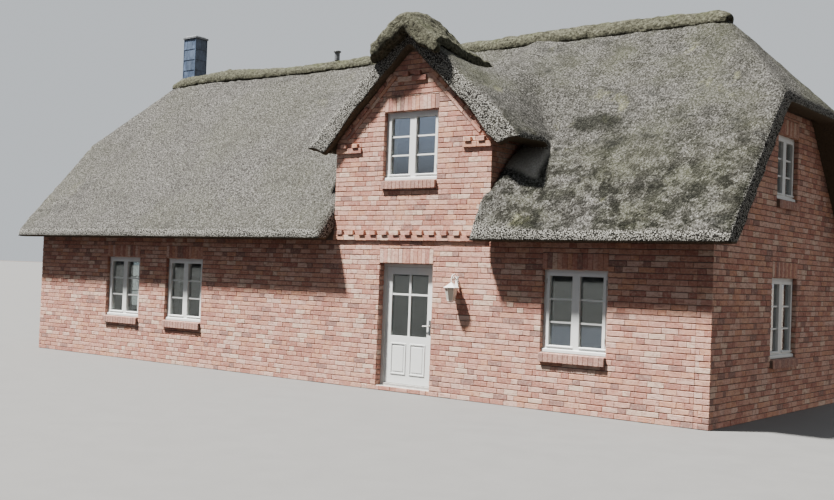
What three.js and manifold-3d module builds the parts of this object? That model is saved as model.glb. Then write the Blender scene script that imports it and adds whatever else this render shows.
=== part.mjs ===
// Thatched brick cottage with half-hipped ends and a gabled dormer over its front door.
// Millimetres, +Z up, +X along the front to the right, the front faces -Y.
// The origin is the middle of the footprint, at ground level.

import * as THREE from 'three';
import { mergeVertices } from 'three/addons/utils/BufferGeometryUtils.js';
import Module from 'manifold-3d';

const wasm = await Module();
wasm.setup();

// Driving dimensions of the brick box
const HOUSE_LENGTH = 15800;
const HOUSE_DEPTH = 5500;
const WALL = 365;
const FLOOR_TOP = 80;
const UPPER_FLOOR_TOP = 2650;
const UPPER_FLOOR_THICKNESS = 170;
const GAP = 0.3;

// Driving dimensions of the main roof
const PITCH = THREE.MathUtils.degToRad(49.2);
const THATCH = 300;
const EAVE_OVERHANG = 420;
const GABLE_OVERHANG = 400;
const EAVE_TIP_Z = 2647;
const SOFFIT_Z = 2490;
const HIP_EAVE_Z = 4780;
const HIP_SOFFIT_Z = 4620;
const HIP_RUN = 1500;

// Driving dimensions of the gabled dormer
const DORMER_X = 2620;
const DORMER_HALF = 1625;
const DORMER_EAVE_HALF = 2220;
const DORMER_EAVE_Z = 4160;
const DORMER_SOFFIT_Z = 4070;
const DORMER_RIDGE_Z = 6180;
const DORMER_RIDGE_FALL = 0.25;
const DORMER_VERGE = 150;
const DORMER_THATCH = 450;
const CHEEK = 240;

// Driving dimensions of windows and door
const WINDOW = { width: 1100, sill: 870, head: 2105 };
const GABLE_WINDOW = { width: 1140, sill: 3505, head: 4655 };
const REVEAL = 65;
const DOOR_REVEAL = 110;
const FRAME_DEPTH = 70;
const FRAME_FACE = 55;
const STILE = 48;
const MEETING_STILE = 64;
const BAR = 26;
const GLASS = 6;
const CASEMENT = { panes: 3, proud: 12, back: 8, barDepth: 44, rebate: 15 };
const DOOR = { width: 1130, head: 2125, leaf: 56, clear: 5, post: 60, stile: 120 };
const DOOR_LIGHT = { sill: 920, bar: 1610, barFace: 30, mullion: 40, inset: 6, pane: 12, rebate: 12 };
const DOOR_HANDLE = {
  z: 1109, half: 20, below: 130, above: 100, plate: 8, neck: 46, lever: 115, radius: 9,
};
const THRESHOLD_TOP = 125;
const HINGES = [400, 1750];
const HINGE = { radius: 8, pin: 4, length: 50, wing: 30, offset: 9, leaf: 4, sides: 12 };

const FRONT_WINDOWS = [-4935, -2995];
const FRONT_RIGHT_WINDOW = 5790;
const BACK_WINDOWS = [-4935, 0, 4935];
const END_WINDOW = { width: 1100, sill: 870, head: 2105 };
const END_UPPER_WINDOW = { width: 900, sill: 3300, head: 4300 };

// Places that follow from the driving dimensions
const HALF_LENGTH = HOUSE_LENGTH / 2;
const FRONT = -HOUSE_DEPTH / 2;
const BACK = HOUSE_DEPTH / 2;
const EAVE_Y = BACK + EAVE_OVERHANG;
const VERGE_X = HALF_LENGTH + GABLE_OVERHANG;
const RISE = Math.tan(PITCH);
const RIDGE_Z = EAVE_TIP_Z + EAVE_Y * RISE;
const THATCH_DROP = THATCH / Math.cos(PITCH);
const RIDGE_END = VERGE_X - HIP_RUN;
const HIP_RISE = (RIDGE_Z - HIP_EAVE_Z) / HIP_RUN;
const HIP_DROP = THATCH * Math.hypot(1, HIP_RISE);
const DORMER_LEFT = DORMER_X - DORMER_HALF;
const DORMER_RIGHT = DORMER_X + DORMER_HALF;
const DORMER_FRONT = FRONT - DORMER_VERGE;
const DORMER_BACK = -300;

// Driving dimensions of the brick ornament, the chimney, the ridge covers and the lantern
const BAND = { under: 2500, course: 83, proud: 22, dentil: 118, pitch: 250, joint: 12 };
const SHOULDER = { under: 3990, left: 570, right: 540 };
const APEX = { under: 5140, half: 300, dentil: 125 };
const RAKE = { high: [330, 5140], low: [1400, 4225], width: 70, proud: 18 };
const SILL = { proud: 50, depth: 110, fall: 25 };
const CHIMNEY = { x: -6940, y: 562, width: 400, depth: 325, slate: 20, top: 7500, cap: 45, cover: 30 };
const VENT = { x: -1670, radius: 55, lip: 25, top: 6590 };
const RIDGE_ROLL = {
  half: 160, lip: 105, beyond: 120,
  crown: [
    [-6920, 85], [-6500, 105], [-5900, 95], [-5000, 135], [-4300, 90], [-2600, 65], [0, 75], [2900, 95],
    [4600, 120], [6920, 100],
  ],
};
const DORMER_ROLL = {
  proud: 210, hang: 290, tip: 50, lip: 230,
  crown: [
    [-3110, 6200], [-2920, 6255], [-2570, 6290], [-2210, 6250], [-1280, 5900], [-880, 5810], [-300, 5790],
  ],
  left: [[-3110, 710], [-2860, 800], [-2560, 680], [-2200, 500], [-600, 330]],
  right: [[-3110, 780], [-2860, 640], [-2670, 540], [-1780, 470], [-600, 330]],
};
const LANTERN = { x: 3670, top: 1900, reach: 150 };

// Half the size of a block that stands for all space on one side of a plane
const FAR = 20000;

const COLOURS = {
  brick: [0xb07f70, 0.9, 0],
  thatch: [0x94938a, 1.0, 0],
  sod: [0x7a7f67, 1.0, 0],
  paint: [0xe9ebe6, 0.45, 0],
  glass: [0x39434d, 0.1, 0],
  boards: [0x9a7b55, 0.8, 0],
  stone: [0x8d8a84, 0.85, 0],
  slate: [0x5c6878, 0.6, 0],
  zinc: [0x9aa0a3, 0.4, 0.9],
  metal: [0xc9ccce, 0.3, 1],
  soot: [0x2d2d2f, 0.6, 0.3],
};

const house = new THREE.Group();

/** Adds one named mesh with the finish of its kind. */
function piece(name, solid, finish) {
  const [color, roughness, metalness] = COLOURS[finish];
  const material = new THREE.MeshStandardMaterial({ color, roughness, metalness });
  const mesh = new THREE.Mesh(toGeometry(solid), material);
  mesh.name = name;
  house.add(mesh);
}

/** For sorting the two ends of a span. */
function rising(a, b) {
  return a - b;
}

/** Turns a closed three.js geometry into a solid that can be joined and cut. */
function toSolid(geometry) {
  const bare = geometry.clone();
  bare.deleteAttribute('normal');
  bare.deleteAttribute('uv');
  const merged = mergeVertices(bare, 1e-3);
  const vertProperties = Float32Array.from(merged.attributes.position.array);
  const triVerts = Uint32Array.from(merged.index.array);
  return new wasm.Manifold(new wasm.Mesh({ numProp: 3, vertProperties, triVerts }));
}

/** Turns a solid back into a three.js geometry. */
function toGeometry(solid) {
  const { vertProperties, triVerts } = solid.getMesh();
  const geometry = new THREE.BufferGeometry();
  geometry.setAttribute('position', new THREE.BufferAttribute(vertProperties, 3));
  geometry.setIndex(new THREE.BufferAttribute(triVerts, 1));
  return geometry;
}

/** A box between two corners. */
function box([x0, y0, z0], [x1, y1, z1]) {
  const geometry = new THREE.BoxGeometry(x1 - x0, y1 - y0, z1 - z0);
  geometry.translate((x0 + x1) / 2, (y0 + y1) / 2, (z0 + z1) / 2);
  return toSolid(geometry);
}

/** A flat outline as a three.js shape. */
function outline(points) {
  return new THREE.Shape(points.map(([u, v]) => new THREE.Vector2(u, v)));
}

/** An outline drawn out to a depth and turned into place. */
function drawn(points, depth, turn) {
  const geometry = new THREE.ExtrudeGeometry(outline(points), { depth, bevelEnabled: false });
  return toSolid(geometry.applyMatrix4(turn));
}

/** An outline in (y, z) drawn out along X. */
function alongX(points, x0, x1) {
  const turn = new THREE.Matrix4().set(0, 0, 1, x0, 1, 0, 0, 0, 0, 1, 0, 0, 0, 0, 0, 1);
  return drawn(points, x1 - x0, turn);
}

/** An outline in (x, z) drawn out along Y, less its holes. */
function alongY(points, y0, y1, holes = []) {
  const turn = (far) => new THREE.Matrix4().set(1, 0, 0, 0, 0, 0, -1, far, 0, 1, 0, 0, 0, 0, 0, 1);
  const margin = 10;
  const cut = (solid, hole) => solid.subtract(drawn(hole, y1 - y0 + 2 * margin, turn(y1 + margin)));
  return holes.reduce(cut, drawn(points, y1 - y0, turn(y1)));
}

/** A rectangle as an outline, for a wall or an opening in it. */
function rectangle(u0, v0, u1, v1) {
  return [[u0, v0], [u1, v0], [u1, v1], [u0, v1]];
}

/** The half of space behind a plane, as a very large block. */
function behind(point, normal) {
  const geometry = new THREE.BoxGeometry(2 * FAR, 2 * FAR, 2 * FAR);
  geometry.translate(0, 0, -FAR);
  const up = new THREE.Vector3(0, 0, 1);
  geometry.applyQuaternion(new THREE.Quaternion().setFromUnitVectors(up, normal.clone().normalize()));
  geometry.translate(point.x, point.y, point.z);
  return toSolid(geometry);
}

/** A block whose top and bottom follow two height functions of x and y. */
function between([x0, x1, nx], [y0, y1, ny], top, bottom) {
  const geometry = new THREE.BoxGeometry(x1 - x0, y1 - y0, 2, nx, ny, 1);
  geometry.translate((x0 + x1) / 2, (y0 + y1) / 2, 0);
  const at = geometry.attributes.position;
  for (let i = 0; i < at.count; i += 1) {
    const height = at.getZ(i) > 0 ? top : bottom;
    at.setZ(i, height(at.getX(i), at.getY(i)));
  }
  return toSolid(geometry);
}

/** A value read off a run of (place, value) pairs, straight between them and level beyond. */
function readOff(run, place) {
  const after = run.findIndex(([at]) => at >= place);
  if (after < 0) return run[run.length - 1][1];
  if (after === 0) return run[0][1];
  const [[at0, value0], [at1, value1]] = [run[after - 1], run[after]];
  return THREE.MathUtils.mapLinear(place, at0, at1, value0, value1);
}

/** Height of the main thatch, outside or inside, at a distance from the ridge. */
function mainTop(y) {
  return RIDGE_Z - Math.abs(y) * RISE;
}

function mainUnder(y) {
  return mainTop(y) - THATCH_DROP;
}

/** Height of the hipped end's thatch at a distance along the house. */
function hipTop(x) {
  return RIDGE_Z - (Math.abs(x) - RIDGE_END) * HIP_RISE;
}

function hipUnder(x) {
  return hipTop(x) - HIP_DROP;
}

/** Height of the dormer's thatch: level eaves and a ridge that falls towards the main roof. */
function dormerTop(x, y) {
  const ridge = DORMER_RIDGE_Z - (y - DORMER_FRONT) * DORMER_RIDGE_FALL;
  const share = 1 - Math.abs(x - DORMER_X) / DORMER_EAVE_HALF;
  return DORMER_EAVE_Z + (ridge - DORMER_EAVE_Z) * share;
}

/** Everything below the front (-1) or back (+1) slope's outer face, raised by a lift. */
function belowSlope(side, lift) {
  return behind(new THREE.Vector3(0, 0, RIDGE_Z + lift), new THREE.Vector3(0, side * RISE, 1));
}

/** Everything below the left (-1) or right (+1) hip's outer face, raised by a lift. */
function belowHip(side, lift) {
  const at = new THREE.Vector3(side * RIDGE_END, 0, RIDGE_Z + lift);
  return behind(at, new THREE.Vector3(side * HIP_RISE, 0, 1));
}

/** Everything under the thatch of a main slope or a hip, less the fitting gap. */
function underMain(side) {
  return belowSlope(side, -THATCH_DROP - GAP);
}

function underHip(side) {
  return belowHip(side, -HIP_DROP - GAP);
}

/** Everything under one half of the dormer's top, lowered by a drop. */
function underDormerHalf(side, drop) {
  const span = [DORMER_X, DORMER_X + side * DORMER_EAVE_HALF].sort(rising);
  return between([...span, 8], [DORMER_FRONT, DORMER_BACK, 8], (x, y) => dormerTop(x, y) - drop, () => 0);
}

function underDormer(drop) {
  return underDormerHalf(-1, drop).add(underDormerHalf(1, drop));
}

/** The plane where a hip meets a main slope: it holds their outer and inner edges. */
function mitre(sideX, sideY) {
  const outer = (x) => new THREE.Vector3(sideX * x, sideY * (RIDGE_Z - hipTop(x)) / RISE, hipTop(x));
  const innerZ = hipUnder(VERGE_X);
  const inner = new THREE.Vector3(sideX * VERGE_X, sideY * (RIDGE_Z - THATCH_DROP - innerZ) / RISE, innerZ);
  const plane = new THREE.Plane().setFromCoplanarPoints(outer(RIDGE_END), outer(VERGE_X), inner);
  if (plane.normal.x * sideX < 0) plane.negate();
  return plane;
}

/** Everything on the hip's side of a mitre, above the hip's soffit, for cutting a main slope. */
function beyondMitre(sideX, sideY) {
  const plane = mitre(sideX, sideY);
  const inward = plane.normal.clone().negate();
  const point = plane.coplanarPoint(new THREE.Vector3()).addScaledVector(inward, GAP / 2);
  const soffit = new THREE.Vector3(0, 0, HIP_SOFFIT_Z - GAP);
  return behind(point, inward).intersect(behind(soffit, new THREE.Vector3(0, 0, -1)));
}

/** Everything on the main slope's side of a mitre, for cutting a hip. */
function insideMitre(sideX, sideY) {
  const plane = mitre(sideX, sideY);
  const point = plane.coplanarPoint(new THREE.Vector3()).addScaledVector(plane.normal, GAP / 2);
  return behind(point, plane.normal);
}

/** A rowlock sill's section, sloping away from the window, for a wall that faces -Y. */
function sillSection(head) {
  const { proud, depth, fall } = SILL;
  const [outer, inner] = [FRONT - proud, FRONT + REVEAL];
  return [[outer, head - fall - depth], [inner, head - depth], [inner, head], [outer, head - fall]];
}

/** The section of a front or back wall, its top cut to the slope of the thatch. */
function eaveWall(x0, x1, holes) {
  const high = UPPER_FLOOR_TOP + 600;
  return alongY(rectangle(x0, 0, x1, high), FRONT, FRONT + WALL, holes).intersect(underMain(-1));
}

function windowHole(x, size) {
  return rectangle(x - size.width / 2, size.sill, x + size.width / 2, size.head);
}

/** A brick sill under a window in a wall that faces -Y. */
function sill(x, size) {
  return alongX(sillSection(size.sill), x - size.width / 2, x + size.width / 2);
}

/** A part made for the front, turned half round to the back. */
function turned(solid) {
  const geometry = toGeometry(solid);
  geometry.rotateZ(Math.PI);
  return toSolid(geometry);
}

/** A part made for the front wall, turned to the left (-1) or right (+1) end wall. */
function toEnd(solid, side) {
  const geometry = toGeometry(solid);
  geometry.translate(0, -FRONT, 0);
  geometry.rotateZ(side * Math.PI / 2);
  geometry.translate(side * HALF_LENGTH, 0, 0);
  return toSolid(geometry);
}

/** A projecting course with a row of dentils above it, between two places on the front. */
function dentilBand(x0, x1, z, dentils) {
  const overlap = 1;
  let band = box([x0, FRONT - BAND.proud, z], [x1, FRONT + overlap, z + BAND.course]);
  for (const x of dentils) {
    const low = [x - BAND.dentil / 2, FRONT - BAND.proud, z + BAND.course - overlap];
    const high = [x + BAND.dentil / 2, FRONT + overlap, z + 2 * BAND.course - BAND.joint];
    band = band.add(box(low, high));
  }
  return band;
}

function frontWalls() {
  const leftHoles = FRONT_WINDOWS.map((x) => windowHole(x, WINDOW));
  const doorLeft = DORMER_X - DOOR.width / 2;
  const doorRight = DORMER_X + DOOR.width / 2;
  let left = eaveWall(-HALF_LENGTH, DORMER_LEFT, leftHoles);
  left = left.add(box([DORMER_LEFT - 1, FRONT, 0], [doorLeft, FRONT + WALL, BAND.under]));
  for (const x of FRONT_WINDOWS) left = left.add(sill(x, WINDOW));
  piece('front_wall_left', left, 'brick');
  let right = eaveWall(DORMER_RIGHT, HALF_LENGTH, [windowHole(FRONT_RIGHT_WINDOW, WINDOW)]);
  right = right.add(box([doorRight, FRONT, 0], [DORMER_RIGHT + 1, FRONT + WALL, BAND.under]));
  right = right.add(sill(FRONT_RIGHT_WINDOW, WINDOW));
  piece('front_wall_right', right, 'brick');
  gableWall(doorLeft, doorRight);
}

/** The gable over the door: wall, string course, stepped corbels, raking course and window sill. */
function gableWall(doorLeft, doorRight) {
  const shape = [
    [doorLeft, DOOR.head], [doorRight, DOOR.head], [doorRight, BAND.under], [DORMER_RIGHT, BAND.under],
    [DORMER_RIGHT, DORMER_RIDGE_Z], [DORMER_LEFT, DORMER_RIDGE_Z], [DORMER_LEFT, BAND.under],
    [doorLeft, BAND.under],
  ];
  let wall = alongY(shape, FRONT, FRONT + WALL, [windowHole(DORMER_X, GABLE_WINDOW)]);
  const row = [];
  for (let x = DORMER_LEFT + BAND.pitch / 2; x < DORMER_RIGHT; x += BAND.pitch) row.push(x);
  wall = wall.add(dentilBand(DORMER_LEFT, DORMER_RIGHT, BAND.under, row));
  wall = wall.add(dentilBand(DORMER_LEFT, DORMER_LEFT + SHOULDER.left, SHOULDER.under, row.slice(1, 3)));
  wall = wall.add(dentilBand(DORMER_RIGHT - SHOULDER.right, DORMER_RIGHT, SHOULDER.under, row.slice(-3, -1)));
  const pair = [DORMER_X - APEX.dentil, DORMER_X + APEX.dentil];
  wall = wall.add(dentilBand(DORMER_X - APEX.half, DORMER_X + APEX.half, APEX.under, pair));
  for (const side of [-1, 1]) wall = wall.add(rakeBand(side));
  wall = wall.intersect(underDormer(DORMER_THATCH + GAP));
  wall = wall.add(sill(DORMER_X, GABLE_WINDOW));
  piece('gable_wall', wall, 'brick');
}

/** The raking course that follows the dormer's slope, on one side of the gable window. */
function rakeBand(side) {
  const [high, low] = [RAKE.high, RAKE.low].map(([reach, z]) => [DORMER_X + side * reach, z]);
  const points = [high, low, [low[0], low[1] + RAKE.width], [high[0], high[1] + RAKE.width]];
  return alongY(side > 0 ? points : points.reverse(), FRONT - RAKE.proud, FRONT + 1);
}

function backWall() {
  const holes = BACK_WINDOWS.map((x) => windowHole(x, WINDOW));
  let wall = eaveWall(-HALF_LENGTH, HALF_LENGTH, holes);
  for (const x of BACK_WINDOWS) wall = wall.add(sill(x, WINDOW));
  piece('back_wall', turned(wall), 'brick');
}

/** The brick end between the eaves and the half-hip, with a window on each floor. */
function endWall(side, name) {
  const inner = BACK - WALL;
  const holes = [windowHole(0, END_WINDOW), windowHole(0, END_UPPER_WINDOW)];
  let wall = toEnd(alongY(rectangle(-inner, 0, inner, HIP_EAVE_Z + 600), FRONT, FRONT + WALL, holes), side);
  wall = wall.intersect(underHip(side)).intersect(underMain(-1)).intersect(underMain(1));
  for (const size of [END_WINDOW, END_UPPER_WINDOW]) wall = wall.add(toEnd(sill(0, size), side));
  piece(name, wall, 'brick');
}

function cheeks() {
  const start = FRONT + WALL;
  for (const side of [-1, 1]) {
    const outer = DORMER_X + side * DORMER_HALF;
    const span = [outer, outer - side * CHEEK].sort(rising);
    const reach = (RIDGE_Z - THATCH_DROP - DORMER_EAVE_Z) / RISE;
    const shape = [[start, mainUnder(start)], [-reach, DORMER_EAVE_Z], [start, DORMER_EAVE_Z + 300]];
    const wall = alongX(shape, ...span).intersect(underDormer(DORMER_THATCH + GAP));
    piece(side < 0 ? 'dormer_cheek_left' : 'dormer_cheek_right', wall, 'brick');
  }
}

function floors() {
  const x = HALF_LENGTH - WALL;
  const y = BACK - WALL;
  piece('ground_floor', box([-x, -y, 0], [x, y, FLOOR_TOP]), 'stone');
  const shaft = chimneyFootprint(0);
  let upper = box([-x, -y, UPPER_FLOOR_TOP - UPPER_FLOOR_THICKNESS], [x, y, UPPER_FLOOR_TOP]);
  upper = upper.subtract(box([...shaft[0], 0], [...shaft[1], RIDGE_Z]));
  piece('upper_floor', upper, 'boards');
}

/** The lowest and highest corner of the chimney's plan, grown all round. */
function chimneyFootprint(grow) {
  const { x, y, width, depth } = CHIMNEY;
  const halfWidth = width / 2 + grow;
  const halfDepth = depth / 2 + grow;
  return [[x - halfWidth, y - halfDepth], [x + halfWidth, y + halfDepth]];
}

/** The section of a main slope, front or back, from its cut eave up to the ridge. */
function slopeSection(side) {
  const soffitInner = (RIDGE_Z - THATCH_DROP - SOFFIT_Z) / RISE;
  const ridge = GAP / 2;
  const points = [[ridge, mainTop(0)], [ridge, mainUnder(0)], [soffitInner, SOFFIT_Z], [EAVE_Y, SOFFIT_Z]];
  points.push([EAVE_Y, EAVE_TIP_Z]);
  return points.map(([y, z]) => [side * y, z]);
}

function frontThatch() {
  const section = slopeSection(-1);
  const left = alongX(section, -VERGE_X, DORMER_LEFT).subtract(beyondMitre(-1, -1));
  piece('front_thatch_left', left, 'thatch');
  const right = alongX(section, DORMER_RIGHT, VERGE_X).subtract(beyondMitre(1, -1));
  piece('front_thatch_right', right, 'thatch');
  const above = alongX(section, DORMER_LEFT, DORMER_RIGHT).subtract(underDormer(-GAP));
  piece('front_thatch_over_dormer', keepHighest(above), 'thatch');
}

/** Of a cut solid's loose parts, the one that reaches highest. */
function keepHighest(solid) {
  const parts = solid.decompose();
  return parts.reduce((best, part) => (part.boundingBox().max[2] > best.boundingBox().max[2] ? part : best));
}

function backThatch() {
  let slope = alongX(slopeSection(1).reverse(), -VERGE_X, VERGE_X);
  slope = slope.subtract(beyondMitre(-1, 1)).subtract(beyondMitre(1, 1));
  const shaft = chimneyFootprint(0);
  slope = slope.subtract(box([...shaft[0], 0], [...shaft[1], 2 * RIDGE_Z]));
  piece('back_thatch', slope, 'thatch');
}

/** A hipped end's thatch, run on past the ridge's end and cut back to the mitres. */
function hipThatch(side, name) {
  const soffitInner = RIDGE_END + (RIDGE_Z - HIP_DROP - HIP_SOFFIT_Z) / HIP_RISE;
  const start = RIDGE_END - HIP_DROP;
  const points = [[start, hipTop(start)], [start, hipUnder(start)], [soffitInner, HIP_SOFFIT_Z]];
  points.push([VERGE_X, HIP_SOFFIT_Z], [VERGE_X, HIP_EAVE_Z]);
  const section = points.map(([x, z]) => [side * x, z]);
  if (side < 0) section.reverse();
  let slope = alongY(section, FRONT, BACK);
  slope = slope.subtract(insideMitre(side, -1)).subtract(insideMitre(side, 1));
  piece(name, slope, 'thatch');
}

/** The dormer's two slopes, which end on the main roof and run through it to the room. */
function dormerThatch() {
  for (const side of [-1, 1]) {
    let slope = underDormerHalf(side, 0).subtract(underDormerHalf(side, DORMER_THATCH));
    slope = slope.subtract(box([DORMER_X - GAP / 2, -FAR, 0], [DORMER_X + GAP / 2, FAR, FAR]));
    slope = slope.subtract(belowSlope(-1, -THATCH_DROP));
    const beyond = DORMER_EAVE_HALF + 1;
    const [x0, x1] = [DORMER_X + side * DORMER_HALF, DORMER_X + side * beyond].sort(rising);
    slope = slope.subtract(box([x0, -FAR, 0], [x1, FAR, FAR]).intersect(belowSlope(-1, GAP)));
    slope = slope.subtract(box([x0, -FAR, 0], [x1, FAR, DORMER_SOFFIT_Z]));
    piece(side < 0 ? 'dormer_thatch_left' : 'dormer_thatch_right', slope, 'thatch');
  }
}

/** How far the ridge cover's uneven crown stands over the roof's edge. */
function ridgeCrown(x) {
  return readOff(RIDGE_ROLL.crown, x);
}

/** The main ridge's cover: a rounded roll that turns down over both hips. */
function ridgeCover() {
  const { half, lip, beyond } = RIDGE_ROLL;
  const end = RIDGE_END + beyond;
  const top = (x, y) => {
    const crown = ridgeCrown(x);
    const roll = RIDGE_Z + crown - (crown + half * RISE - lip) * (y / half) ** 2;
    return Math.min(roll, hipTop(x) + lip);
  };
  const reach = beyond * HIP_RISE + 2 * lip;
  let cover = between([-end, end, 64], [-half, half, 8], top, () => RIDGE_Z - reach);
  cover = cover.subtract(belowSlope(-1, GAP).intersect(belowSlope(1, GAP))
    .intersect(belowHip(-1, GAP)).intersect(belowHip(1, GAP)));
  piece('ridge_cover', keepHighest(cover), 'sod');
}

/** Half the width of the dormer ridge's cover, left (-1) or right (+1) of the ridge. */
function dormerRollHalf(side, y) {
  return readOff(side < 0 ? DORMER_ROLL.left : DORMER_ROLL.right, y);
}

/** The top of the dormer ridge's cover, at a share of its half width from the crown. */
function dormerRollTop(share, y) {
  const crest = readOff(DORMER_ROLL.crown, y);
  const side = Math.sign(share);
  const edge = dormerTop(DORMER_X + side * dormerRollHalf(side, y), y) + DORMER_ROLL.lip;
  return crest - (crest - edge) * THREE.MathUtils.smoothstep(Math.abs(share), 0, 1);
}

/** The dormer ridge's cover: a thick saddle, narrow where it meets the roof, with a hood over the verge. */
function dormerRidgeCover() {
  const { proud, hang, tip } = DORMER_ROLL;
  const y0 = DORMER_FRONT - proud;
  const geometry = new THREE.BoxGeometry(2, DORMER_BACK - y0, 2, 12, 16, 1);
  geometry.translate(0, (y0 + DORMER_BACK) / 2, 0);
  const at = geometry.attributes.position;
  for (let i = 0; i < at.count; i += 1) {
    const [share, y] = [at.getX(i), at.getY(i)];
    at.setZ(i, at.getZ(i) > 0 ? dormerRollTop(share, y) : DORMER_EAVE_Z);
    at.setX(i, DORMER_X + share * dormerRollHalf(Math.sign(share), y));
  }
  const cover = toSolid(geometry).subtract(underDormer(-GAP)).subtract(belowSlope(-1, GAP));
  const across = [DORMER_X - DORMER_EAVE_HALF, DORMER_X + DORMER_EAVE_HALF];
  const underHood = (x, y) => {
    const share = (x - DORMER_X) / dormerRollHalf(Math.sign(x - DORMER_X), y);
    return dormerTop(x, y) - tip - (hang - tip) * Math.max(0, 1 - share ** 2);
  };
  const room = between([...across, 48], [y0 - 1, DORMER_FRONT + 1, 1], underHood, () => 0);
  piece('dormer_ridge_cover', keepHighest(cover.subtract(room)), 'sod');
}

/** A flat ring between two rectangles, drawn from one depth to another. */
function ring([x0, z0, x1, z1], face, y0, y1) {
  const hole = rectangle(x0 + face, z0 + face, x1 - face, z1 - face);
  return alongY(rectangle(x0, z0, x1, z1), y0, y1, [hole]);
}

/** A painted casement of three panes, one above the other, standing a little proud of its frame. */
function casement(x0, x1, z0, z1, y0, y1) {
  const lap = 1;
  const grown = [x0 - lap, z0 - lap, x1 + lap, z1 + lap];
  let leaf = ring(grown, STILE + lap, y0 - CASEMENT.proud, y1 - CASEMENT.back);
  const middle = (y0 + y1) / 2;
  const pane = (z1 - z0 - 2 * STILE) / CASEMENT.panes;
  for (let step = 1; step < CASEMENT.panes; step += 1) {
    const z = z0 + STILE + step * pane;
    const low = [x0 + STILE - lap, middle - CASEMENT.barDepth / 2, z - BAR / 2];
    leaf = leaf.add(box(low, [x1 - STILE + lap, middle + CASEMENT.barDepth / 2, z + BAR / 2]));
  }
  return leaf;
}

/** A painted window of two casements in a frame, and its sheet of glass. */
function windowParts(x, size) {
  const y0 = FRONT + REVEAL;
  const y1 = y0 + FRAME_DEPTH;
  const left = x - size.width / 2;
  const right = x + size.width / 2;
  let frame = ring([left, size.sill, right, size.head], FRAME_FACE, y0, y1);
  const [z0, z1] = [size.sill + FRAME_FACE, size.head - FRAME_FACE];
  for (const [x0, x1] of [[left + FRAME_FACE, x], [x, right - FRAME_FACE]]) {
    frame = frame.add(casement(x0, x1, z0, z1, y0, y1));
  }
  const meeting = [[x - MEETING_STILE, y0 - CASEMENT.proud, z0], [x + MEETING_STILE, y1 - CASEMENT.back, z1]];
  frame = frame.add(box(...meeting));
  const middle = (y0 + y1) / 2;
  const edge = FRAME_FACE + STILE - CASEMENT.rebate;
  const low = [left + edge, middle - GLASS / 2, size.sill + edge];
  const high = [right - edge, middle + GLASS / 2, size.head - edge];
  return { frame: frame.subtract(slotFor(low, high)), glass: box(low, high) };
}

/** A slot for a sheet of glass, wider than it by the fitting gap. */
function slotFor(low, high) {
  return box(low.map((v) => v - GAP), high.map((v) => v + GAP));
}

function windows() {
  addWindow('front_window_left', FRONT_WINDOWS[0], WINDOW);
  addWindow('front_window_centre', FRONT_WINDOWS[1], WINDOW);
  addWindow('front_window_right', FRONT_RIGHT_WINDOW, WINDOW);
  addWindow('gable_window', DORMER_X, GABLE_WINDOW);
  BACK_WINDOWS.forEach((x, i) => addWindow(`back_window_${i + 1}`, x, WINDOW, turned));
  for (const [side, word] of [[-1, 'left'], [1, 'right']]) {
    const place = (solid) => toEnd(solid, side);
    addWindow(`${word}_end_window`, 0, END_WINDOW, place);
    addWindow(`${word}_end_upper_window`, 0, END_UPPER_WINDOW, place);
  }
}

/** Adds one window made for the front wall, put in its own wall by a placing function. */
function addWindow(name, x, size, place = (solid) => solid) {
  const parts = windowParts(x, size);
  piece(name, place(parts.frame), 'paint');
  piece(`${name}_glass`, place(parts.glass), 'glass');
}

/** The door's frame, threshold, leaf, pane and handles; the leaf hangs on the left and opens inwards. */
function door() {
  const { post, clear, head } = DOOR;
  const x0 = DORMER_X - DOOR.width / 2;
  const x1 = DORMER_X + DOOR.width / 2;
  const y0 = FRONT + DOOR_REVEAL;
  const y1 = y0 + FRAME_DEPTH;
  const frame = [
    [x0, FLOOR_TOP], [x0 + post, FLOOR_TOP], [x0 + post, head - post], [x1 - post, head - post],
    [x1 - post, FLOOR_TOP], [x1, FLOOR_TOP], [x1, head], [x0, head],
  ];
  const hinge = { x: x0 + post + clear / 2, y: y1 + HINGE.offset };
  const knuckles = HINGES.map((z) => lowerKnuckle(hinge, z));
  piece('door_frame', knuckles.reduce((all, part) => all.add(part), alongY(frame, y0, y1)), 'paint');
  const step = box([x0, FRONT, 0], [x1, FRONT + WALL, FLOOR_TOP]);
  const nose = box([x0 + post, y0 - 20, FLOOR_TOP - 1], [x1 - post, y1, THRESHOLD_TOP]);
  piece('door_threshold', step.add(nose), 'stone');
  doorLeaf(x0 + post + clear, x1 - post - clear, y1, hinge);
}

/** An upright rod on the hinge's axis. */
function hingeRod({ x, y }, radius, low, high) {
  const rod = new THREE.CylinderGeometry(radius, radius, high - low, HINGE.sides).rotateX(Math.PI / 2);
  rod.translate(x, y, (low + high) / 2);
  return toSolid(rod);
}

/** A hinge's flat wing, from its axis out over the frame (-1) or the leaf (+1). */
function hingeWing({ x, y }, side, low, high) {
  const face = y - HINGE.offset;
  const [x0, x1] = [x, x + side * HINGE.wing].sort(rising);
  const [grip0, grip1] = [x + side * (DOOR.clear / 2 + 0.5), x + side * HINGE.wing].sort(rising);
  const plate = box([x0, face, low], [x1, face + HINGE.leaf, high]);
  return plate.add(box([grip0, face - 1, low], [grip1, face + 1, high]));
}

/** The frame's half of a hinge: a knuckle with its pin. */
function lowerKnuckle(hinge, z) {
  const low = z - HINGE.length;
  const pin = hingeRod(hinge, HINGE.pin, z - HINGE.radius, z + 0.7 * HINGE.length);
  return hingeRod(hinge, HINGE.radius, low, z).add(hingeWing(hinge, -1, low, z)).add(pin);
}

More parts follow.
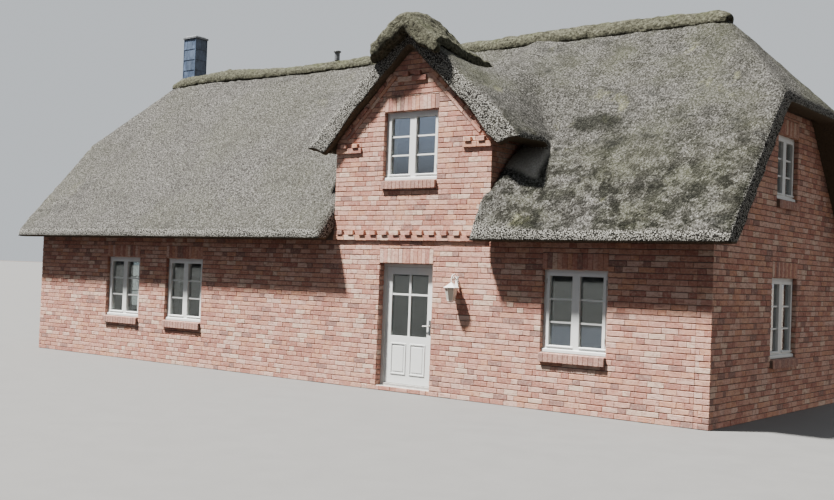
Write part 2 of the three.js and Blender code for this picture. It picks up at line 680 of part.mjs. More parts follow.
/** The leaf's half of a hinge: a knuckle bored for the pin. */
function upperKnuckle(hinge, z) {
  const low = z + GAP;
  const bore = hingeRod(hinge, HINGE.pin + GAP, z - HINGE.radius, z + 0.7 * HINGE.length + GAP);
  const knuckle = hingeRod(hinge, HINGE.radius, low, z + HINGE.length);
  return knuckle.add(hingeWing(hinge, 1, low, z + HINGE.length)).subtract(bore);
}

function doorLeaf(x0, x1, inside, hinge) {
  const { sill: lock, bar, barFace, mullion, inset, pane, rebate } = DOOR_LIGHT;
  const z0 = THRESHOLD_TOP + DOOR.clear;
  const z1 = DOOR.head - DOOR.post - DOOR.clear;
  const outside = inside - DOOR.leaf;
  const [left, right, top] = [x0 + DOOR.stile, x1 - DOOR.stile, z1 - DOOR.stile];
  let leaf = alongY(rectangle(x0, z0, x1, z1), outside, inside, [rectangle(left, lock, right, top)]);
  const centre = (x0 + x1) / 2;
  const [y0, y1] = [outside + inset, inside - inset];
  leaf = leaf.add(box([centre - mullion / 2, y0, lock - 1], [centre + mullion / 2, y1, top + 1]));
  leaf = leaf.add(box([left - 1, y0, bar - barFace / 2], [right + 1, y1, bar + barFace / 2]));
  const middle = (outside + inside) / 2;
  const low = [left - rebate, middle - pane / 2, lock - rebate];
  const high = [right + rebate, middle + pane / 2, top + rebate];
  for (const z of HINGES) leaf = leaf.add(upperKnuckle(hinge, z));
  piece('door_leaf', leaf.subtract(slotFor(low, high)), 'paint');
  piece('door_glass', box(low, high), 'glass');
  doorHandle('door_handle_outside', x1 - DOOR.stile / 2, outside, -1);
  doorHandle('door_handle_inside', x1 - DOOR.stile / 2, inside, 1);
}

/** A lever on a long plate. */
function doorHandle(name, x, y, out) {
  const { z, half, below, above, plate, neck, lever, radius } = DOOR_HANDLE;
  const [y0, y1] = [y, y + out * plate].sort(rising);
  let handle = box([x - half, y0, z - below], [x + half, y1, z + above]);
  const stem = new THREE.CylinderGeometry(radius, radius, neck, HINGE.sides);
  stem.translate(x, y + out * (5 + neck / 2), z);
  handle = handle.add(toSolid(stem));
  const grip = new THREE.CylinderGeometry(radius, radius, lever, HINGE.sides).rotateZ(Math.PI / 2);
  grip.translate(x + radius / 2 - lever / 2, y + out * neck, z);
  piece(name, handle.add(toSolid(grip)), 'metal');
}

/** The chimney: a brick shaft from the floor up, slates above the roof, and a cover plate. */
function chimney() {
  const { top, slate, cap, cover } = CHIMNEY;
  const inner = chimneyFootprint(0);
  const outer = chimneyFootprint(slate);
  piece('chimney_shaft', box([...inner[0], FLOOR_TOP], [...inner[1], top]), 'brick');
  const sleeve = box([...outer[0], mainTop(2 * CHIMNEY.y)], [...outer[1], top]);
  const hole = box([...inner[0], 0], [...inner[1], FAR]);
  piece('chimney_slates', sleeve.subtract(hole).subtract(belowSlope(1, GAP)), 'slate');
  const lid = chimneyFootprint(slate + 18);
  piece('chimney_cap', box([...lid[0], top], [...lid[1], top + cap]), 'soot');
  const plate = chimneyFootprint(slate - 30);
  piece('chimney_cover', box([...plate[0], top + cap], [...plate[1], top + cap + cover]), 'zinc');
}

/** A solid turned about an upright axis from (radius, height) pairs. */
function turnedUp(profile, x, y, z, sides) {
  const solid = new THREE.LatheGeometry(profile.map(([r, h]) => new THREE.Vector2(r, h)), sides);
  solid.rotateX(Math.PI / 2);
  solid.translate(x, y, z);
  return toSolid(solid);
}

/** The flue's end that stands on the ridge cover, under a wider lip. */
function ventPipe() {
  const { radius, lip, top } = VENT;
  const foot = RIDGE_Z + ridgeCrown(VENT.x) + GAP - top;
  const wide = radius + lip;
  const profile = [[0, foot], [radius, foot], [radius, -lip - 15], [wide, -lip], [wide, 0], [0, 0]];
  piece('vent_pipe', turnedUp(profile, VENT.x, 0, top, 16), 'soot');
}

/** The wall lantern beside the door: a wall plate with an arm, a hood, a six-sided pane and a foot. */
function lantern() {
  const { x, top, reach } = LANTERN;
  const y = FRONT - reach;
  const sides = 6;
  let bracket = box([x - 30, FRONT - 14, top - 130], [x + 30, FRONT, top + 40]);
  bracket = bracket.add(box([x - 9, y, top - 12], [x + 9, FRONT - 13, top + 6]));
  bracket = bracket.add(box([x - 9, y - 9, top - 60], [x + 9, y + 9, top + 6]));
  piece('lantern_bracket', bracket, 'paint');
  const hood = [[0, -150], [108, -150], [112, -138], [70, -110], [30, -75], [14, -60], [0, -60]];
  piece('lantern_hood', turnedUp(hood, x, y, top, sides), 'paint');
  const glass = [[0, -335], [60, -335], [100, -150], [0, -150]];
  piece('lantern_glass', turnedUp(glass, x, y, top, sides), 'glass');
  const foot = [[0, -375], [22, -370], [64, -345], [64, -335], [0, -335]];
  piece('lantern_foot', turnedUp(foot, x, y, top, sides), 'paint');
}

frontWalls();
backWall();
endWall(-1, 'left_end_wall');
endWall(1, 'right_end_wall');
cheeks();
floors();
frontThatch();
backThatch();
hipThatch(-1, 'left_hip_thatch');
hipThatch(1, 'right_hip_thatch');
dormerThatch();
ridgeCover();
dormerRidgeCover();
windows();
door();
chimney();
ventPipe();
lantern();

export default house;
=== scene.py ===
"""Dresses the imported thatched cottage: brickwork, thatch, ridge covers, joinery, chimney and lantern.

Metres, +Z up, the front faces -Y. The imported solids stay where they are: walls carry the bricks laid here,
and thatch, ridges, windows, door, slates and lantern stand in for their plain solids.
"""

import logging
import math
from collections.abc import Callable, Iterable, Sequence
from dataclasses import dataclass, field
from enum import Enum

import bmesh
import bpy
import numpy as np
from mathutils import Matrix, Vector


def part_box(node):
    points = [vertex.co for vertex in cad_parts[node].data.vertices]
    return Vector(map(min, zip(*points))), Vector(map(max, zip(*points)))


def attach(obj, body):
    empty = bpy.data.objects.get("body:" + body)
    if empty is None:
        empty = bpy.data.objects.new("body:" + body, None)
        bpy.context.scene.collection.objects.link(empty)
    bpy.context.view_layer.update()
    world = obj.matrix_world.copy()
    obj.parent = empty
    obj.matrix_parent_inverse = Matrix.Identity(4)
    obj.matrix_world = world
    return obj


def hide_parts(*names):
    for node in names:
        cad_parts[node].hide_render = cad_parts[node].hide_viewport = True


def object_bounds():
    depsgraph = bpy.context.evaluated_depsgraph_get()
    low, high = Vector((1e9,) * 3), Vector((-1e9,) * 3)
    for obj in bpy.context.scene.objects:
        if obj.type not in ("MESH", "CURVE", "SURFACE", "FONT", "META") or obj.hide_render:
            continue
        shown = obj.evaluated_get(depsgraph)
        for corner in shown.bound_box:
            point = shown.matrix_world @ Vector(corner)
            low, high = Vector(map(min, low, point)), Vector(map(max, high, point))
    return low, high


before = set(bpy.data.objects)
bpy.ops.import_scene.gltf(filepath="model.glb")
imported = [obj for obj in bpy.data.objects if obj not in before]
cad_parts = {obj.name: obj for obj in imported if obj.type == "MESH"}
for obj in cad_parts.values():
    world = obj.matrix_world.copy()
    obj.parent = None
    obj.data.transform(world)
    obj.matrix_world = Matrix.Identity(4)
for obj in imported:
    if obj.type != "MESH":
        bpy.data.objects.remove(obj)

LOG = logging.getLogger("cottage")
CAD_BOX = [list(corner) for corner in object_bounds()]
UP = Vector((0.0, 0.0, 1.0))

Triple = tuple[float, float, float]
Colour = Triple
Span = tuple[float, float]
Rectangle = tuple[float, float, float, float]
Plane = tuple[Vector, Vector]


# Shader maths

class Link:
    """An output socket of a shader, with arithmetic that adds Math nodes."""

    def __init__(self, shader: "Shader", socket: bpy.types.NodeSocket) -> None:
        """Keeps the socket and the shader that it belongs to."""
        self.shader = shader
        self.socket = socket

    def _math(self, operation: str, *values: "Link | float") -> "Link":
        """Adds one Math node.

        Args:
            operation: the node's operation.
            values: its numbers or links, in order.

        Returns:
            The node's result.
        """
        return self.shader.node("ShaderNodeMath", {"operation": operation}, dict(enumerate(values)))

    def __add__(self, other: "Link | float") -> "Link":
        """Adds."""
        return self._math("ADD", self, other)

    __radd__ = __add__

    def __sub__(self, other: "Link | float") -> "Link":
        """Subtracts."""
        return self._math("SUBTRACT", self, other)

    def __rsub__(self, other: float) -> "Link":
        """Subtracts this from a number."""
        return self._math("SUBTRACT", other, self)

    def __mul__(self, other: "Link | float") -> "Link":
        """Multiplies."""
        return self._math("MULTIPLY", self, other)

    __rmul__ = __mul__

    def __lt__(self, other: "Link | float") -> "Link":
        """1 where this is the smaller, else 0."""
        return self._math("LESS_THAN", self, other)

    def __gt__(self, other: "Link | float") -> "Link":
        """1 where this is the greater, else 0."""
        return self._math("GREATER_THAN", self, other)

    def __abs__(self) -> "Link":
        """Drops the sign."""
        return self._math("ABSOLUTE", self)

    def between(self, low: float, high: float) -> "Link":
        """Rises smoothly from 0 at low to 1 at high."""
        settings = {"interpolation_type": "SMOOTHSTEP"}
        return self.shader.node("ShaderNodeMapRange", settings, {0: self, 1: low, 2: high})


class Shader:
    """A material's node tree, where one method adds any node."""

    owners = "materials"
    output = "ShaderNodeOutputMaterial"

    def __init__(self, name: str) -> None:
        """Starts a material, or whatever the class makes, with an empty node tree.

        Args:
            name: its name.
        """
        self.owner = getattr(bpy.data, self.owners).new(name)
        self.owner.use_nodes = True
        self.tree = self.owner.node_tree
        self.tree.nodes.clear()

    def node(self, kind: str, settings: dict | None = None, sockets: dict | None = None,
             result: int | str = 0) -> Link:
        """Adds a node, sets its options and fills its sockets.

        Args:
            kind: the node's type.
            settings: its options, set first; "stops" holds a ramp's places and colours.
            sockets: values or links, by socket name or number.
            result: the output that is handed back, by name or number.

        Returns:
            The chosen output.
        """
        node = self.tree.nodes.new(kind)
        for key, value in (settings or {}).items():
            if key == "stops":
                self._fill_ramp(node.color_ramp, value)
            else:
                setattr(node, key, value)
        for key, value in (sockets or {}).items():
            socket = node.inputs[key]
            if isinstance(value, Link):
                self.tree.links.new(value.socket, socket)
            elif isinstance(value, tuple) and socket.type == "RGBA":
                socket.default_value = (*value, 1.0)
            else:
                socket.default_value = value
        return Link(self, node.outputs[result])

    @staticmethod
    def _fill_ramp(ramp: bpy.types.ColorRamp, stops: Sequence[tuple[float, Colour]]) -> None:
        """Puts the stops, two or more, into a colour ramp.

        Args:
            ramp: the ramp.
            stops: each one's place and colour.
        """
        while len(ramp.elements) < len(stops):
            ramp.elements.new(0.5)
        for element, (place, colour) in zip(ramp.elements, stops):
            element.position = place
            element.color = (*colour, 1.0)

    def place(self) -> Link:
        """The point on the object, in metres in the house's frame."""
        return self.node("ShaderNodeTexCoord", result="Object")

    def axis(self, letter: str) -> Link:
        """One coordinate of the point, X, Y or Z."""
        return self.node("ShaderNodeSeparateXYZ", sockets={0: self.place()}, result=letter)

    def facing(self, letter: str) -> Link:
        """One component of the surface's own direction, X, Y or Z."""
        normal = self.node("ShaderNodeNewGeometry", result="Normal")
        return self.node("ShaderNodeSeparateXYZ", sockets={0: normal}, result=letter)

    def stretched(self, scale: Triple) -> Link:
        """The point with each axis scaled."""
        settings = {"operation": "MULTIPLY"}
        return self.node("ShaderNodeVectorMath", settings, {0: self.place(), 1: scale})

    def noise(self, scale: float, detail: float = 3.0, rough: float = 0.55,
              at: Link | None = None) -> Link:
        """Cloudy noise around 0.5, with about `scale` lumps a metre."""
        sockets = {"Scale": scale, "Detail": detail, "Roughness": rough, "Vector": at or self.place()}
        return self.node("ShaderNodeTexNoise", {}, sockets, "Fac")

    def cells(self, scale: float) -> Link:
        """The distance to the middle of the nearest cell, with about `scale` cells a metre."""
        return self.node("ShaderNodeTexVoronoi", {}, {"Scale": scale, "Vector": self.place()}, "Distance")

    def ramp(self, value: Link, stops: Sequence[tuple[float, Colour]], steps: bool = False) -> Link:
        """Colours a value by a ramp, smoothly or in steps.

        Args:
            value: what is looked up.
            stops: each one's place and colour.
            steps: whether the colours change at once.

        Returns:
            The colour.
        """
        node = self.node("ShaderNodeValToRGB", {"stops": stops}, {0: value})
        node.socket.node.color_ramp.interpolation = "CONSTANT" if steps else "LINEAR"
        return node

    def mix(self, factor: Link | float, low: Link | Colour, high: Link | Colour,
            blend: str = "MIX") -> Link:
        """Mixes two colours.

        Args:
            factor: the share of the second colour.
            low: the first colour.
            high: the second colour.
            blend: the way of mixing.

        Returns:
            The mixed colour.
        """
        settings = {"data_type": "RGBA", "blend_type": blend}
        return self.node("ShaderNodeMix", settings, {0: factor, 6: low, 7: high}, 2)

    def bump(self, height: Link, distance: float, strength: float = 1.0,
             normal: Link | None = None) -> Link:
        """A surface direction from a height, where 1 is `distance` metres proud.

        Args:
            height: the height, from 0 to 1.
            distance: how proud 1 is.
            strength: how much of it shows.
            normal: the direction under it.

        Returns:
            The direction.
        """
        sockets = {"Height": height, "Distance": distance, "Strength": strength}
        if normal is not None:
            sockets["Normal"] = normal
        return self.node("ShaderNodeBump", {}, sockets)

    def finish(self, **sockets: Link | float | Colour) -> bpy.types.Material:
        """Ends the tree in a Principled BSDF.

        Args:
            sockets: its values or links, with spaces in the names as underscores.

        Returns:
            The finished material.
        """
        named = {key.replace("_", " "): value for key, value in sockets.items()}
        self.show(self.node("ShaderNodeBsdfPrincipled", {}, named))
        return self.owner

    def show(self, surface: Link) -> None:
        """Joins a surface to the tree's output."""
        output = self.tree.nodes.new(self.output)
        self.tree.links.new(surface.socket, output.inputs["Surface"])


# Finishes

@dataclass(frozen=True)
class Cloud:
    """A layer of noise that tints a colour where the noise is high."""

    scale: float
    detail: float
    rough: float
    levels: Span
    share: float
    colour: Colour
    stretch: Triple = (1.0, 1.0, 1.0)
    more: tuple[float, ...] = ()
    blend: str = "MIX"

    def noise(self, shader: Shader) -> Link:
        """The layer's own noise."""
        return shader.noise(self.scale, self.detail, self.rough, shader.stretched(self.stretch))

    def over(self, shader: Shader, base: Link | Colour, *masks: Link) -> Link:
        """Tints a colour.

        Args:
            shader: the material.
            base: the colour under the layer.
            masks: where the layer is stronger, by the amounts in `more`.

        Returns:
            The tinted colour.
        """
        share = self.share
        for amount, mask in zip(self.more, masks):
            share = share + amount * mask
        return shader.mix(self.noise(shader).between(*self.levels) * share, base, self.colour, self.blend)


@dataclass(frozen=True)
class BrickFinish:
    """Fired facing brick, each one with its own tone, with sandy grain and darker kiss marks."""

    name: str = "facing_brick"
    tones: tuple[Colour, ...] = (
        (0.50, 0.26, 0.190), (0.56, 0.33, 0.250), (0.43, 0.20, 0.145), (0.59, 0.38, 0.300),
        (0.53, 0.27, 0.175), (0.38, 0.17, 0.125), (0.59, 0.40, 0.325), (0.49, 0.25, 0.180),
        (0.55, 0.32, 0.250), (0.42, 0.19, 0.140), (0.53, 0.30, 0.230), (0.62, 0.45, 0.350),
        (0.26, 0.15, 0.125), (0.56, 0.32, 0.225), (0.50, 0.26, 0.200), (0.35, 0.155, 0.120),
    )
    blotch: Cloud = Cloud(26.0, 4.0, 0.65, (0.42, 0.72), 0.45, (0.65, 0.45, 0.37))
    burns: tuple[Cloud, ...] = (
        Cloud(9.0, 5.0, 0.75, (0.48, 0.64), 0.55, (0.34, 0.150, 0.120), (0.8, 0.8, 1.6)),
        Cloud(24.0, 4.0, 0.65, (0.50, 0.74), 0.75, (0.22, 0.12, 0.10), (0.5, 0.5, 1.3)),
        Cloud(1.7, 3.0, 0.6, (0.5, 0.8), 0.25, (0.22, 0.13, 0.11)),
    )

    def material(self) -> bpy.types.Material:
        """Builds the material.

        Returns:
            The material.
        """
        shader = Shader(self.name)
        chance = shader.node("ShaderNodeNewGeometry", result="Random Per Island")
        count = len(self.tones)
        stops = [(index / count, tone) for index, tone in enumerate(self.tones)]
        tone = shader.ramp(chance, stops, steps=True)
        for layer in (self.blotch, *self.burns):
            tone = layer.over(shader, tone)
        pits = shader.noise(160.0, 3.0, 0.7)
        shade = shader.ramp(pits, [(0.3, (0.25, 0.25, 0.25)), (0.7, (1, 1, 1))])
        tone = shader.mix(0.3, tone, shade, "MULTIPLY")
        bump = shader.bump(pits + 0.8 * self.blotch.noise(shader), 0.004)
        return shader.finish(Base_Color=tone, Roughness=0.92, Normal=bump, Specular_IOR_Level=0.25)


@dataclass(frozen=True)
class MortarFinish:
    """Grey-brown mortar on the outside of a wall, and pale plaster inside the rooms."""

    mortar: Colour = (0.140, 0.098, 0.074)
    sand: Colour = (0.24, 0.20, 0.17)
    plaster: Colour = (0.26, 0.25, 0.23)
    damp: Cloud = Cloud(1.6, 4.0, 0.6, (0.4, 0.7), 0.5, (0.09, 0.072, 0.06))
    inner_x: float = 7.6
    inner_y: float = 2.6

    def material(self) -> bpy.types.Material:
        """Builds the material.

        Returns:
            The material.
        """
        shader = Shader("mortar_and_plaster")
        inside = (abs(shader.axis("Y")) < self.inner_y) * (abs(shader.axis("X")) < self.inner_x)
        sand = shader.noise(220.0, 3.0, 0.7)
        mortar = shader.mix(sand * 0.4, self.damp.over(shader, self.mortar), self.sand)
        colour = shader.mix(inside, mortar, self.plaster)
        return shader.finish(Base_Color=colour, Roughness=0.95, Normal=shader.bump(sand, 0.003))


@dataclass(frozen=True)
class ThatchFinish:
    """Weathered grey reed: clumps of stalk ends drawn out down the slope, streaks, lichen, and sawn edges,
    with painted shade in hollows and over the right half, and painted light in shaded places.
    """

    # The reed's weathered grey; its darkest stops, where the clump noise is low and the bump sinks, are
    # painted shade in the hollows between clumps.
    reed: tuple[tuple[float, Colour], ...] = (
        (0.30, (0.005, 0.004, 0.004)), (0.42, (0.034, 0.032, 0.029)),
        (0.52, (0.090, 0.087, 0.082)), (0.66, (0.235, 0.23, 0.215)),
    )
    # Sawn stalk ends: light ends, with painted shade in the hollows between them at the dark stop.
    ends: tuple[tuple[float, Colour], ...] = (
        (0.10, (0.56, 0.55, 0.51)), (0.40, (0.23, 0.225, 0.205)), (0.66, (0.012, 0.011, 0.010)),
    )
    # Lichen and growth layers; where they darken the right half and the lower slopes, they are painted shade
    # as well as lichen.
    growths_and_painted_shade: tuple[Cloud, ...] = (
        Cloud(0.55, 5.0, 0.62, (0.40, 0.66), 0.17, (0.064, 0.068, 0.038), more=(0.31,)),
        Cloud(1.5, 5.0, 0.66, (0.60, 0.74), 0.08, (0.27, 0.27, 0.15), (1.0, 0.7, 0.7), (0.36,)),
        Cloud(1.1, 5.0, 0.7, (0.57, 0.68), 0.35, (0.022, 0.022, 0.022), (0.8, 1.6, 1.6), (0.35,)),
        Cloud(2.6, 6.0, 0.78, (0.50, 0.56), 0.06, (0.20, 0.21, 0.17), more=(0.34, 0.45), blend="MULTIPLY"),
        Cloud(4.8, 5.0, 0.72, (0.47, 0.55), 0.0, (0.24, 0.24, 0.225), more=(0.0, 0.9), blend="MULTIPLY"),
    )
    streaks: Colour = (0.040, 0.037, 0.035)
    # The tone that the darker ragged patch on the front slope is multiplied by.
    moss: Colour = (0.22, 0.23, 0.20)
    # Painted shade, laid over the reed, more over the right half.
    shade: Colour = (0.026, 0.028, 0.021)
    # The lighter reed painted into the shadow of the dormer's right eave: painted light.
    painted_light_reed: tuple[Colour, Colour] = ((0.20, 0.19, 0.17), (0.75, 0.72, 0.64))
    # Faces that look down: brown reed, painted lighter as painted light in their shade.
    under_reed: tuple[Colour, Colour] = ((0.07, 0.055, 0.038), (0.16, 0.13, 0.095))
    # Where that painted light lies: its left edge, and its right edge, foot, top and front as soft spans.
    painted_light_left: float = 4.15
    painted_light_right: Span = (4.82, 4.94)
    painted_light_foot: Span = (3.42, 3.55)
    painted_light_top: Span = (4.05, 4.18)
    painted_light_front: Span = (-2.52, -2.42)

    def material(self) -> bpy.types.Material:
        """Builds the material.

        Returns:
            The material.
        """
        shader = Shader("weathered_reed")
        sideways = abs(shader.facing("X")) > abs(shader.facing("Y"))
        clumps = self._drawn_out(shader, sideways, 38.0, 0.75, 4.0)
        streak = self._drawn_out(shader, sideways, 3.2, 0.3, 5.0)
        colour = shader.mix(streak.between(0.46, 0.76) * 0.45, shader.ramp(clumps, self.reed), self.streaks)
        # The right half and its lower slopes: there the layers below paint shade as well as lichen.
        right = shader.axis("X").between(0.5, 4.5)
        low = (1.0 - shader.axis("Z").between(3.2, 5.0)) * right
        for layer in self.growths_and_painted_shade:
            colour = layer.over(shader, colour, right, low)
        # A darker ragged patch on the front slope.
        colour = shader.mix(self._dark_patch(shader) * 0.9, colour, self.moss, "MULTIPLY")
        # Painted light: the reed in the shadow of the dormer's right eave is painted lighter.
        colour = shader.mix(self._painted_light(shader) * 0.7, colour, shader.mix(clumps, *self.painted_light_reed))
        # Sawn faces: the light stalk ends, and painted shade in the hollows between them.
        tips = shader.cells(46.0)
        sawn = 1.0 - abs(shader.facing("Z")).between(0.3, 0.55)
        colour = shader.mix(sawn * 0.8, colour, shader.ramp(tips, self.ends))
        # Painted shade: a slight darkening everywhere, more over the right half and less on its lower slopes.
        colour = shader.mix((0.06 + right * 0.14 - low * 0.08) * (1.0 - sawn), colour, self.shade)
        # Faces that look down: a brown reed tone, raised so that their shade reads lighter, which is painted
        # light on the undersides.
        colour = shader.mix(shader.facing("Z") < -0.4, colour, shader.mix(clumps, *self.under_reed))
        bump = shader.bump(tips * -1.0, 0.02, 0.7, shader.bump(clumps, 0.034))
        return shader.finish(Base_Color=colour, Roughness=1.0, Normal=bump, Specular_IOR_Level=0.1)

    def _painted_light(self, shader: Shader) -> Link:
        """Where the front slope lies in the shadow of the dormer's right eave, which is painted lighter there
        as painted light.

        Args:
            shader: the material.

        Returns:
            1 where the painted light is full.
        """
        x, y, z = (shader.axis(letter) for letter in "XYZ")
        across = (1.0 - x.between(*self.painted_light_right)) * (x > self.painted_light_left)
        up = z.between(*self.painted_light_foot) * (1.0 - z.between(*self.painted_light_top))
        return across * up * y.between(*self.painted_light_front) * (y < 0.0)

    @staticmethod
    def _dark_patch(shader: Shader, x: float = 5.45, z: float = 4.42, wide: float = 0.50,
                    high: float = 0.17) -> Link:
        """A ragged patch on the front slope, 1 at its middle.

        Args:
            shader: the material.
            x: its middle along the house.
            z: its height.
            wide: half its width.
            high: half its height.

        Returns:
            How much of the patch is at each point.
        """
        along, up = (shader.axis("X") - x) * (1.0 / wide), (shader.axis("Z") - z) * (1.0 / high)
        ragged = shader.noise(5.0, 4.0, 0.7) * 1.6 - 0.8
        front = shader.axis("Y") < 0.0
        return (1.0 - (along * along + up * up + ragged).between(0.3, 1.2)) * front

    @staticmethod
    def _drawn_out(shader: Shader, sideways: Link, scale: float, along: float, detail: float) -> Link:
        """Noise drawn out down the slope, on the slopes to the front and back and on those to the sides.

        Args:
            shader: the material.
            sideways: 1 where the slope faces an end of the house.
            scale: lumps a metre across the slope.
            along: how much fewer there are down the slope.
            detail: layers of finer noise.

        Returns:
            The noise around 0.5.
        """
        ahead = shader.noise(scale, detail, 0.68, shader.stretched((1.0, along, along)))
        aside = shader.noise(scale, detail, 0.68, shader.stretched((along, 1.0, along)))
        return ahead + sideways * (aside - ahead)


@dataclass(frozen=True)
class SodFinish:
    """The ridge covers: heather and sods, grey-brown with lichen and moss."""

    heather: tuple[tuple[float, Colour], ...] = (
        (0.32, (0.006, 0.006, 0.005)), (0.46, (0.052, 0.051, 0.036)),
        (0.60, (0.106, 0.106, 0.076)), (0.74, (0.23, 0.23, 0.175)),
    )
    moss: Cloud = Cloud(2.3, 4.0, 0.6, (0.48, 0.7), 0.0, (0.062, 0.072, 0.032), more=(0.5,))

    def material(self) -> bpy.types.Material:
        """Builds the material.

        Returns:
            The material.
        """
        shader = Shader("heather_and_sod")
        twigs = shader.noise(20.0, 6.0, 0.72)
        up = shader.facing("Z").between(0.2, 0.9)
        colour = self.moss.over(shader, shader.ramp(twigs, self.heather), up)
        bump = shader.bump(twigs, 0.05)
        return shader.finish(Base_Color=colour, Roughness=1.0, Normal=bump, Specular_IOR_Level=0.1)


@dataclass(frozen=True)
class PaintFinish:
    """White gloss on timber: faint brush marks, patches of grime and a soft shine."""

    name: str = "white_paint"
    white: Colour = (0.62, 0.64, 0.63)
    grime: Cloud = Cloud(5.0, 4.0, 0.65, (0.5, 0.8), 0.3, (0.42, 0.44, 0.42))

    def material(self) -> bpy.types.Material:
        """Builds the material.

        Returns:
            The material.
        """
        shader = Shader(self.name)
        brush = shader.noise(9.0, 4.0, 0.6, shader.stretched((9.0, 9.0, 1.2)))
        rough = 0.32 + 0.25 * self.grime.noise(shader)
        colour = self.grime.over(shader, self.white)
        return shader.finish(Base_Color=colour, Roughness=rough, Normal=shader.bump(brush, 0.0012))


@dataclass(frozen=True)
class GlassFinish:
    """Clear glass with a faint tint and traces of dust."""

    name: str = "window_glass"
    tint: Colour = (0.68, 0.74, 0.74)
    clear: float = 1.0

    def material(self) -> bpy.types.Material:
        """Builds the material.

        Returns:
            The material.
        """
        shader = Shader(self.name)
        dust = shader.noise(3.0, 4.0, 0.6)
        rough = 0.01 + 0.05 * dust.between(0.5, 0.8)
        return shader.finish(Base_Color=self.tint, Roughness=rough, Transmission_Weight=self.clear, IOR=1.5,
                             Coat_Weight=1.0, Coat_IOR=2.0, Coat_Roughness=0.02)


@dataclass(frozen=True)
class GrainFinish:
    """Plain material with two tones of its own noise, for slate, stone, boards and metal."""

    name: str
    low: Colour
    high: Colour
    scale: float = 12.0
    stretch: Triple = (1.0, 1.0, 1.0)
    rough: float = 0.7
    metal: float = 0.0
    depth: float = 0.002
    by_piece: float = 0.0
    worn: Colour = (0.03, 0.035, 0.04)

    def material(self) -> bpy.types.Material:
        """Builds the material.

        Returns:
            The material.
        """
        shader = Shader(self.name)
        grain = shader.noise(self.scale, 5.0, 0.65, shader.stretched(self.stretch))
        colour = shader.mix(grain.between(0.3, 0.7), self.low, self.high)
        if self.by_piece:
            chance = shader.node("ShaderNodeNewGeometry", result="Random Per Island")
            colour = shader.mix(chance * self.by_piece, colour, self.worn)
        rough = self.rough - 0.12 + 0.24 * grain
        return shader.finish(Base_Color=colour, Roughness=rough, Metallic=self.metal,
                             Normal=shader.bump(grain, self.depth))


# Shapes

def smoothstep(value: np.ndarray, low: float, high: float) -> np.ndarray:
    """Rises smoothly from 0 at low to 1 at high."""
    share = np.clip((value - low) / (high - low), 0.0, 1.0)
    return share * share * (3.0 - 2.0 * share)


def lattice_noise(points: np.ndarray, scale: float, seed: int) -> np.ndarray:
    """Smooth noise in space.

    Args:
        points: places, one a row.
        scale: lumps a metre.
        seed: which noise.

    Returns:
        A value from -1 to 1 for each place.
    """
    scaled = points * scale
    base = np.floor(scaled).astype(np.int64)
    part = scaled - base
    ease = part * part * (3.0 - 2.0 * part)
    total = np.zeros(len(points))
    primes = np.array([73856093, 19349663, 83492791], np.int64)
    for corner in np.ndindex(2, 2, 2):
        key = (base + np.array(corner)) @ primes + np.int64(seed * 40503)
        key = (key ^ (key >> 13)) * np.int64(1274126177)
        value = ((key ^ (key >> 16)) & 0xFFFF) / 32767.5 - 1.0
        total += value * np.prod(np.where(corner, ease, 1.0 - ease), axis=1)
    return total


def lumps(points: np.ndarray, layers: Sequence[tuple[float, float, int]]) -> np.ndarray:
    """Adds up layers of smooth noise.

    Args:
        points: places, one a row.
        layers: each one's height, lumps a metre and seed.

    Returns:
        The height at each place.
    """
    return sum(height * lattice_noise(points, scale, seed) for height, scale, seed in layers)


def new_object(name: str, mesh: bpy.types.Mesh, material: bpy.types.Material,
               smooth: bool = False) -> bpy.types.Object:
    """Links a mesh into the scene as an object with one material.

    Args:
        name: the piece's name.
        mesh: its mesh.
        material: its finish.
        smooth: whether its faces are shaded smoothly.

    Returns:
        The object.
    """
    mesh.name = name
    mesh.materials.clear()
    mesh.materials.append(material)
    mesh.polygons.foreach_set("use_smooth", np.full(len(mesh.polygons), smooth))
    made = bpy.data.objects.new(name, mesh)
    bpy.context.scene.collection.objects.link(made)
    return made


def add_piece(name: str, mesh: bpy.types.Mesh, material: bpy.types.Material, slot: str, *nodes: str,
              body: str = "house", smooth: bool = False) -> None:
    """Adds a piece to a body, and hides the solids that it stands for.

    Args:
        name: the piece's name.
        mesh: its mesh.
        material: its finish.
        slot: the record's material slot; not used.
        nodes: the solids that it replaces.
        body: the body that carries it.
        smooth: whether its faces are shaded smoothly.
    """
    piece = new_object(name, mesh, material, smooth)
    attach(piece, body)
    if nodes:
        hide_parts(*nodes)
    LOG.info("%s: %d faces on %s", piece.name, len(piece.data.polygons), body)


def finish_solid(name: str, material: bpy.types.Material) -> None:
    """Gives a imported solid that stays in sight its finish."""
    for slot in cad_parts[name].material_slots:
        slot.material = material


def box_of(name: str) -> tuple[Vector, Vector]:
    """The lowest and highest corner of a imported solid's box."""
    low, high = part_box(name)
    return Vector(low), Vector(high)


def turned_out(work: bmesh.types.BMesh) -> bpy.types.Mesh:
    """Turns a mesh that is being worked on into a finished one, and frees it.

    Args:
        work: the mesh that is being worked on.

    Returns:
        The finished mesh.
    """
    mesh = bpy.data.meshes.new("mesh")
    work.to_mesh(mesh)
    work.free()
    return mesh


def solid_mesh(*nodes: str) -> bpy.types.Mesh:
    """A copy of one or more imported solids, joined and with shared corners merged.

    Args:
        nodes: the solids' names.

    Returns:
        The mesh.
    """
    gathered = bmesh.new()
    for node in nodes:
        gathered.from_mesh(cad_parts[node].data)
    bmesh.ops.remove_doubles(gathered, verts=gathered.verts, dist=1e-5)
    return turned_out(gathered)


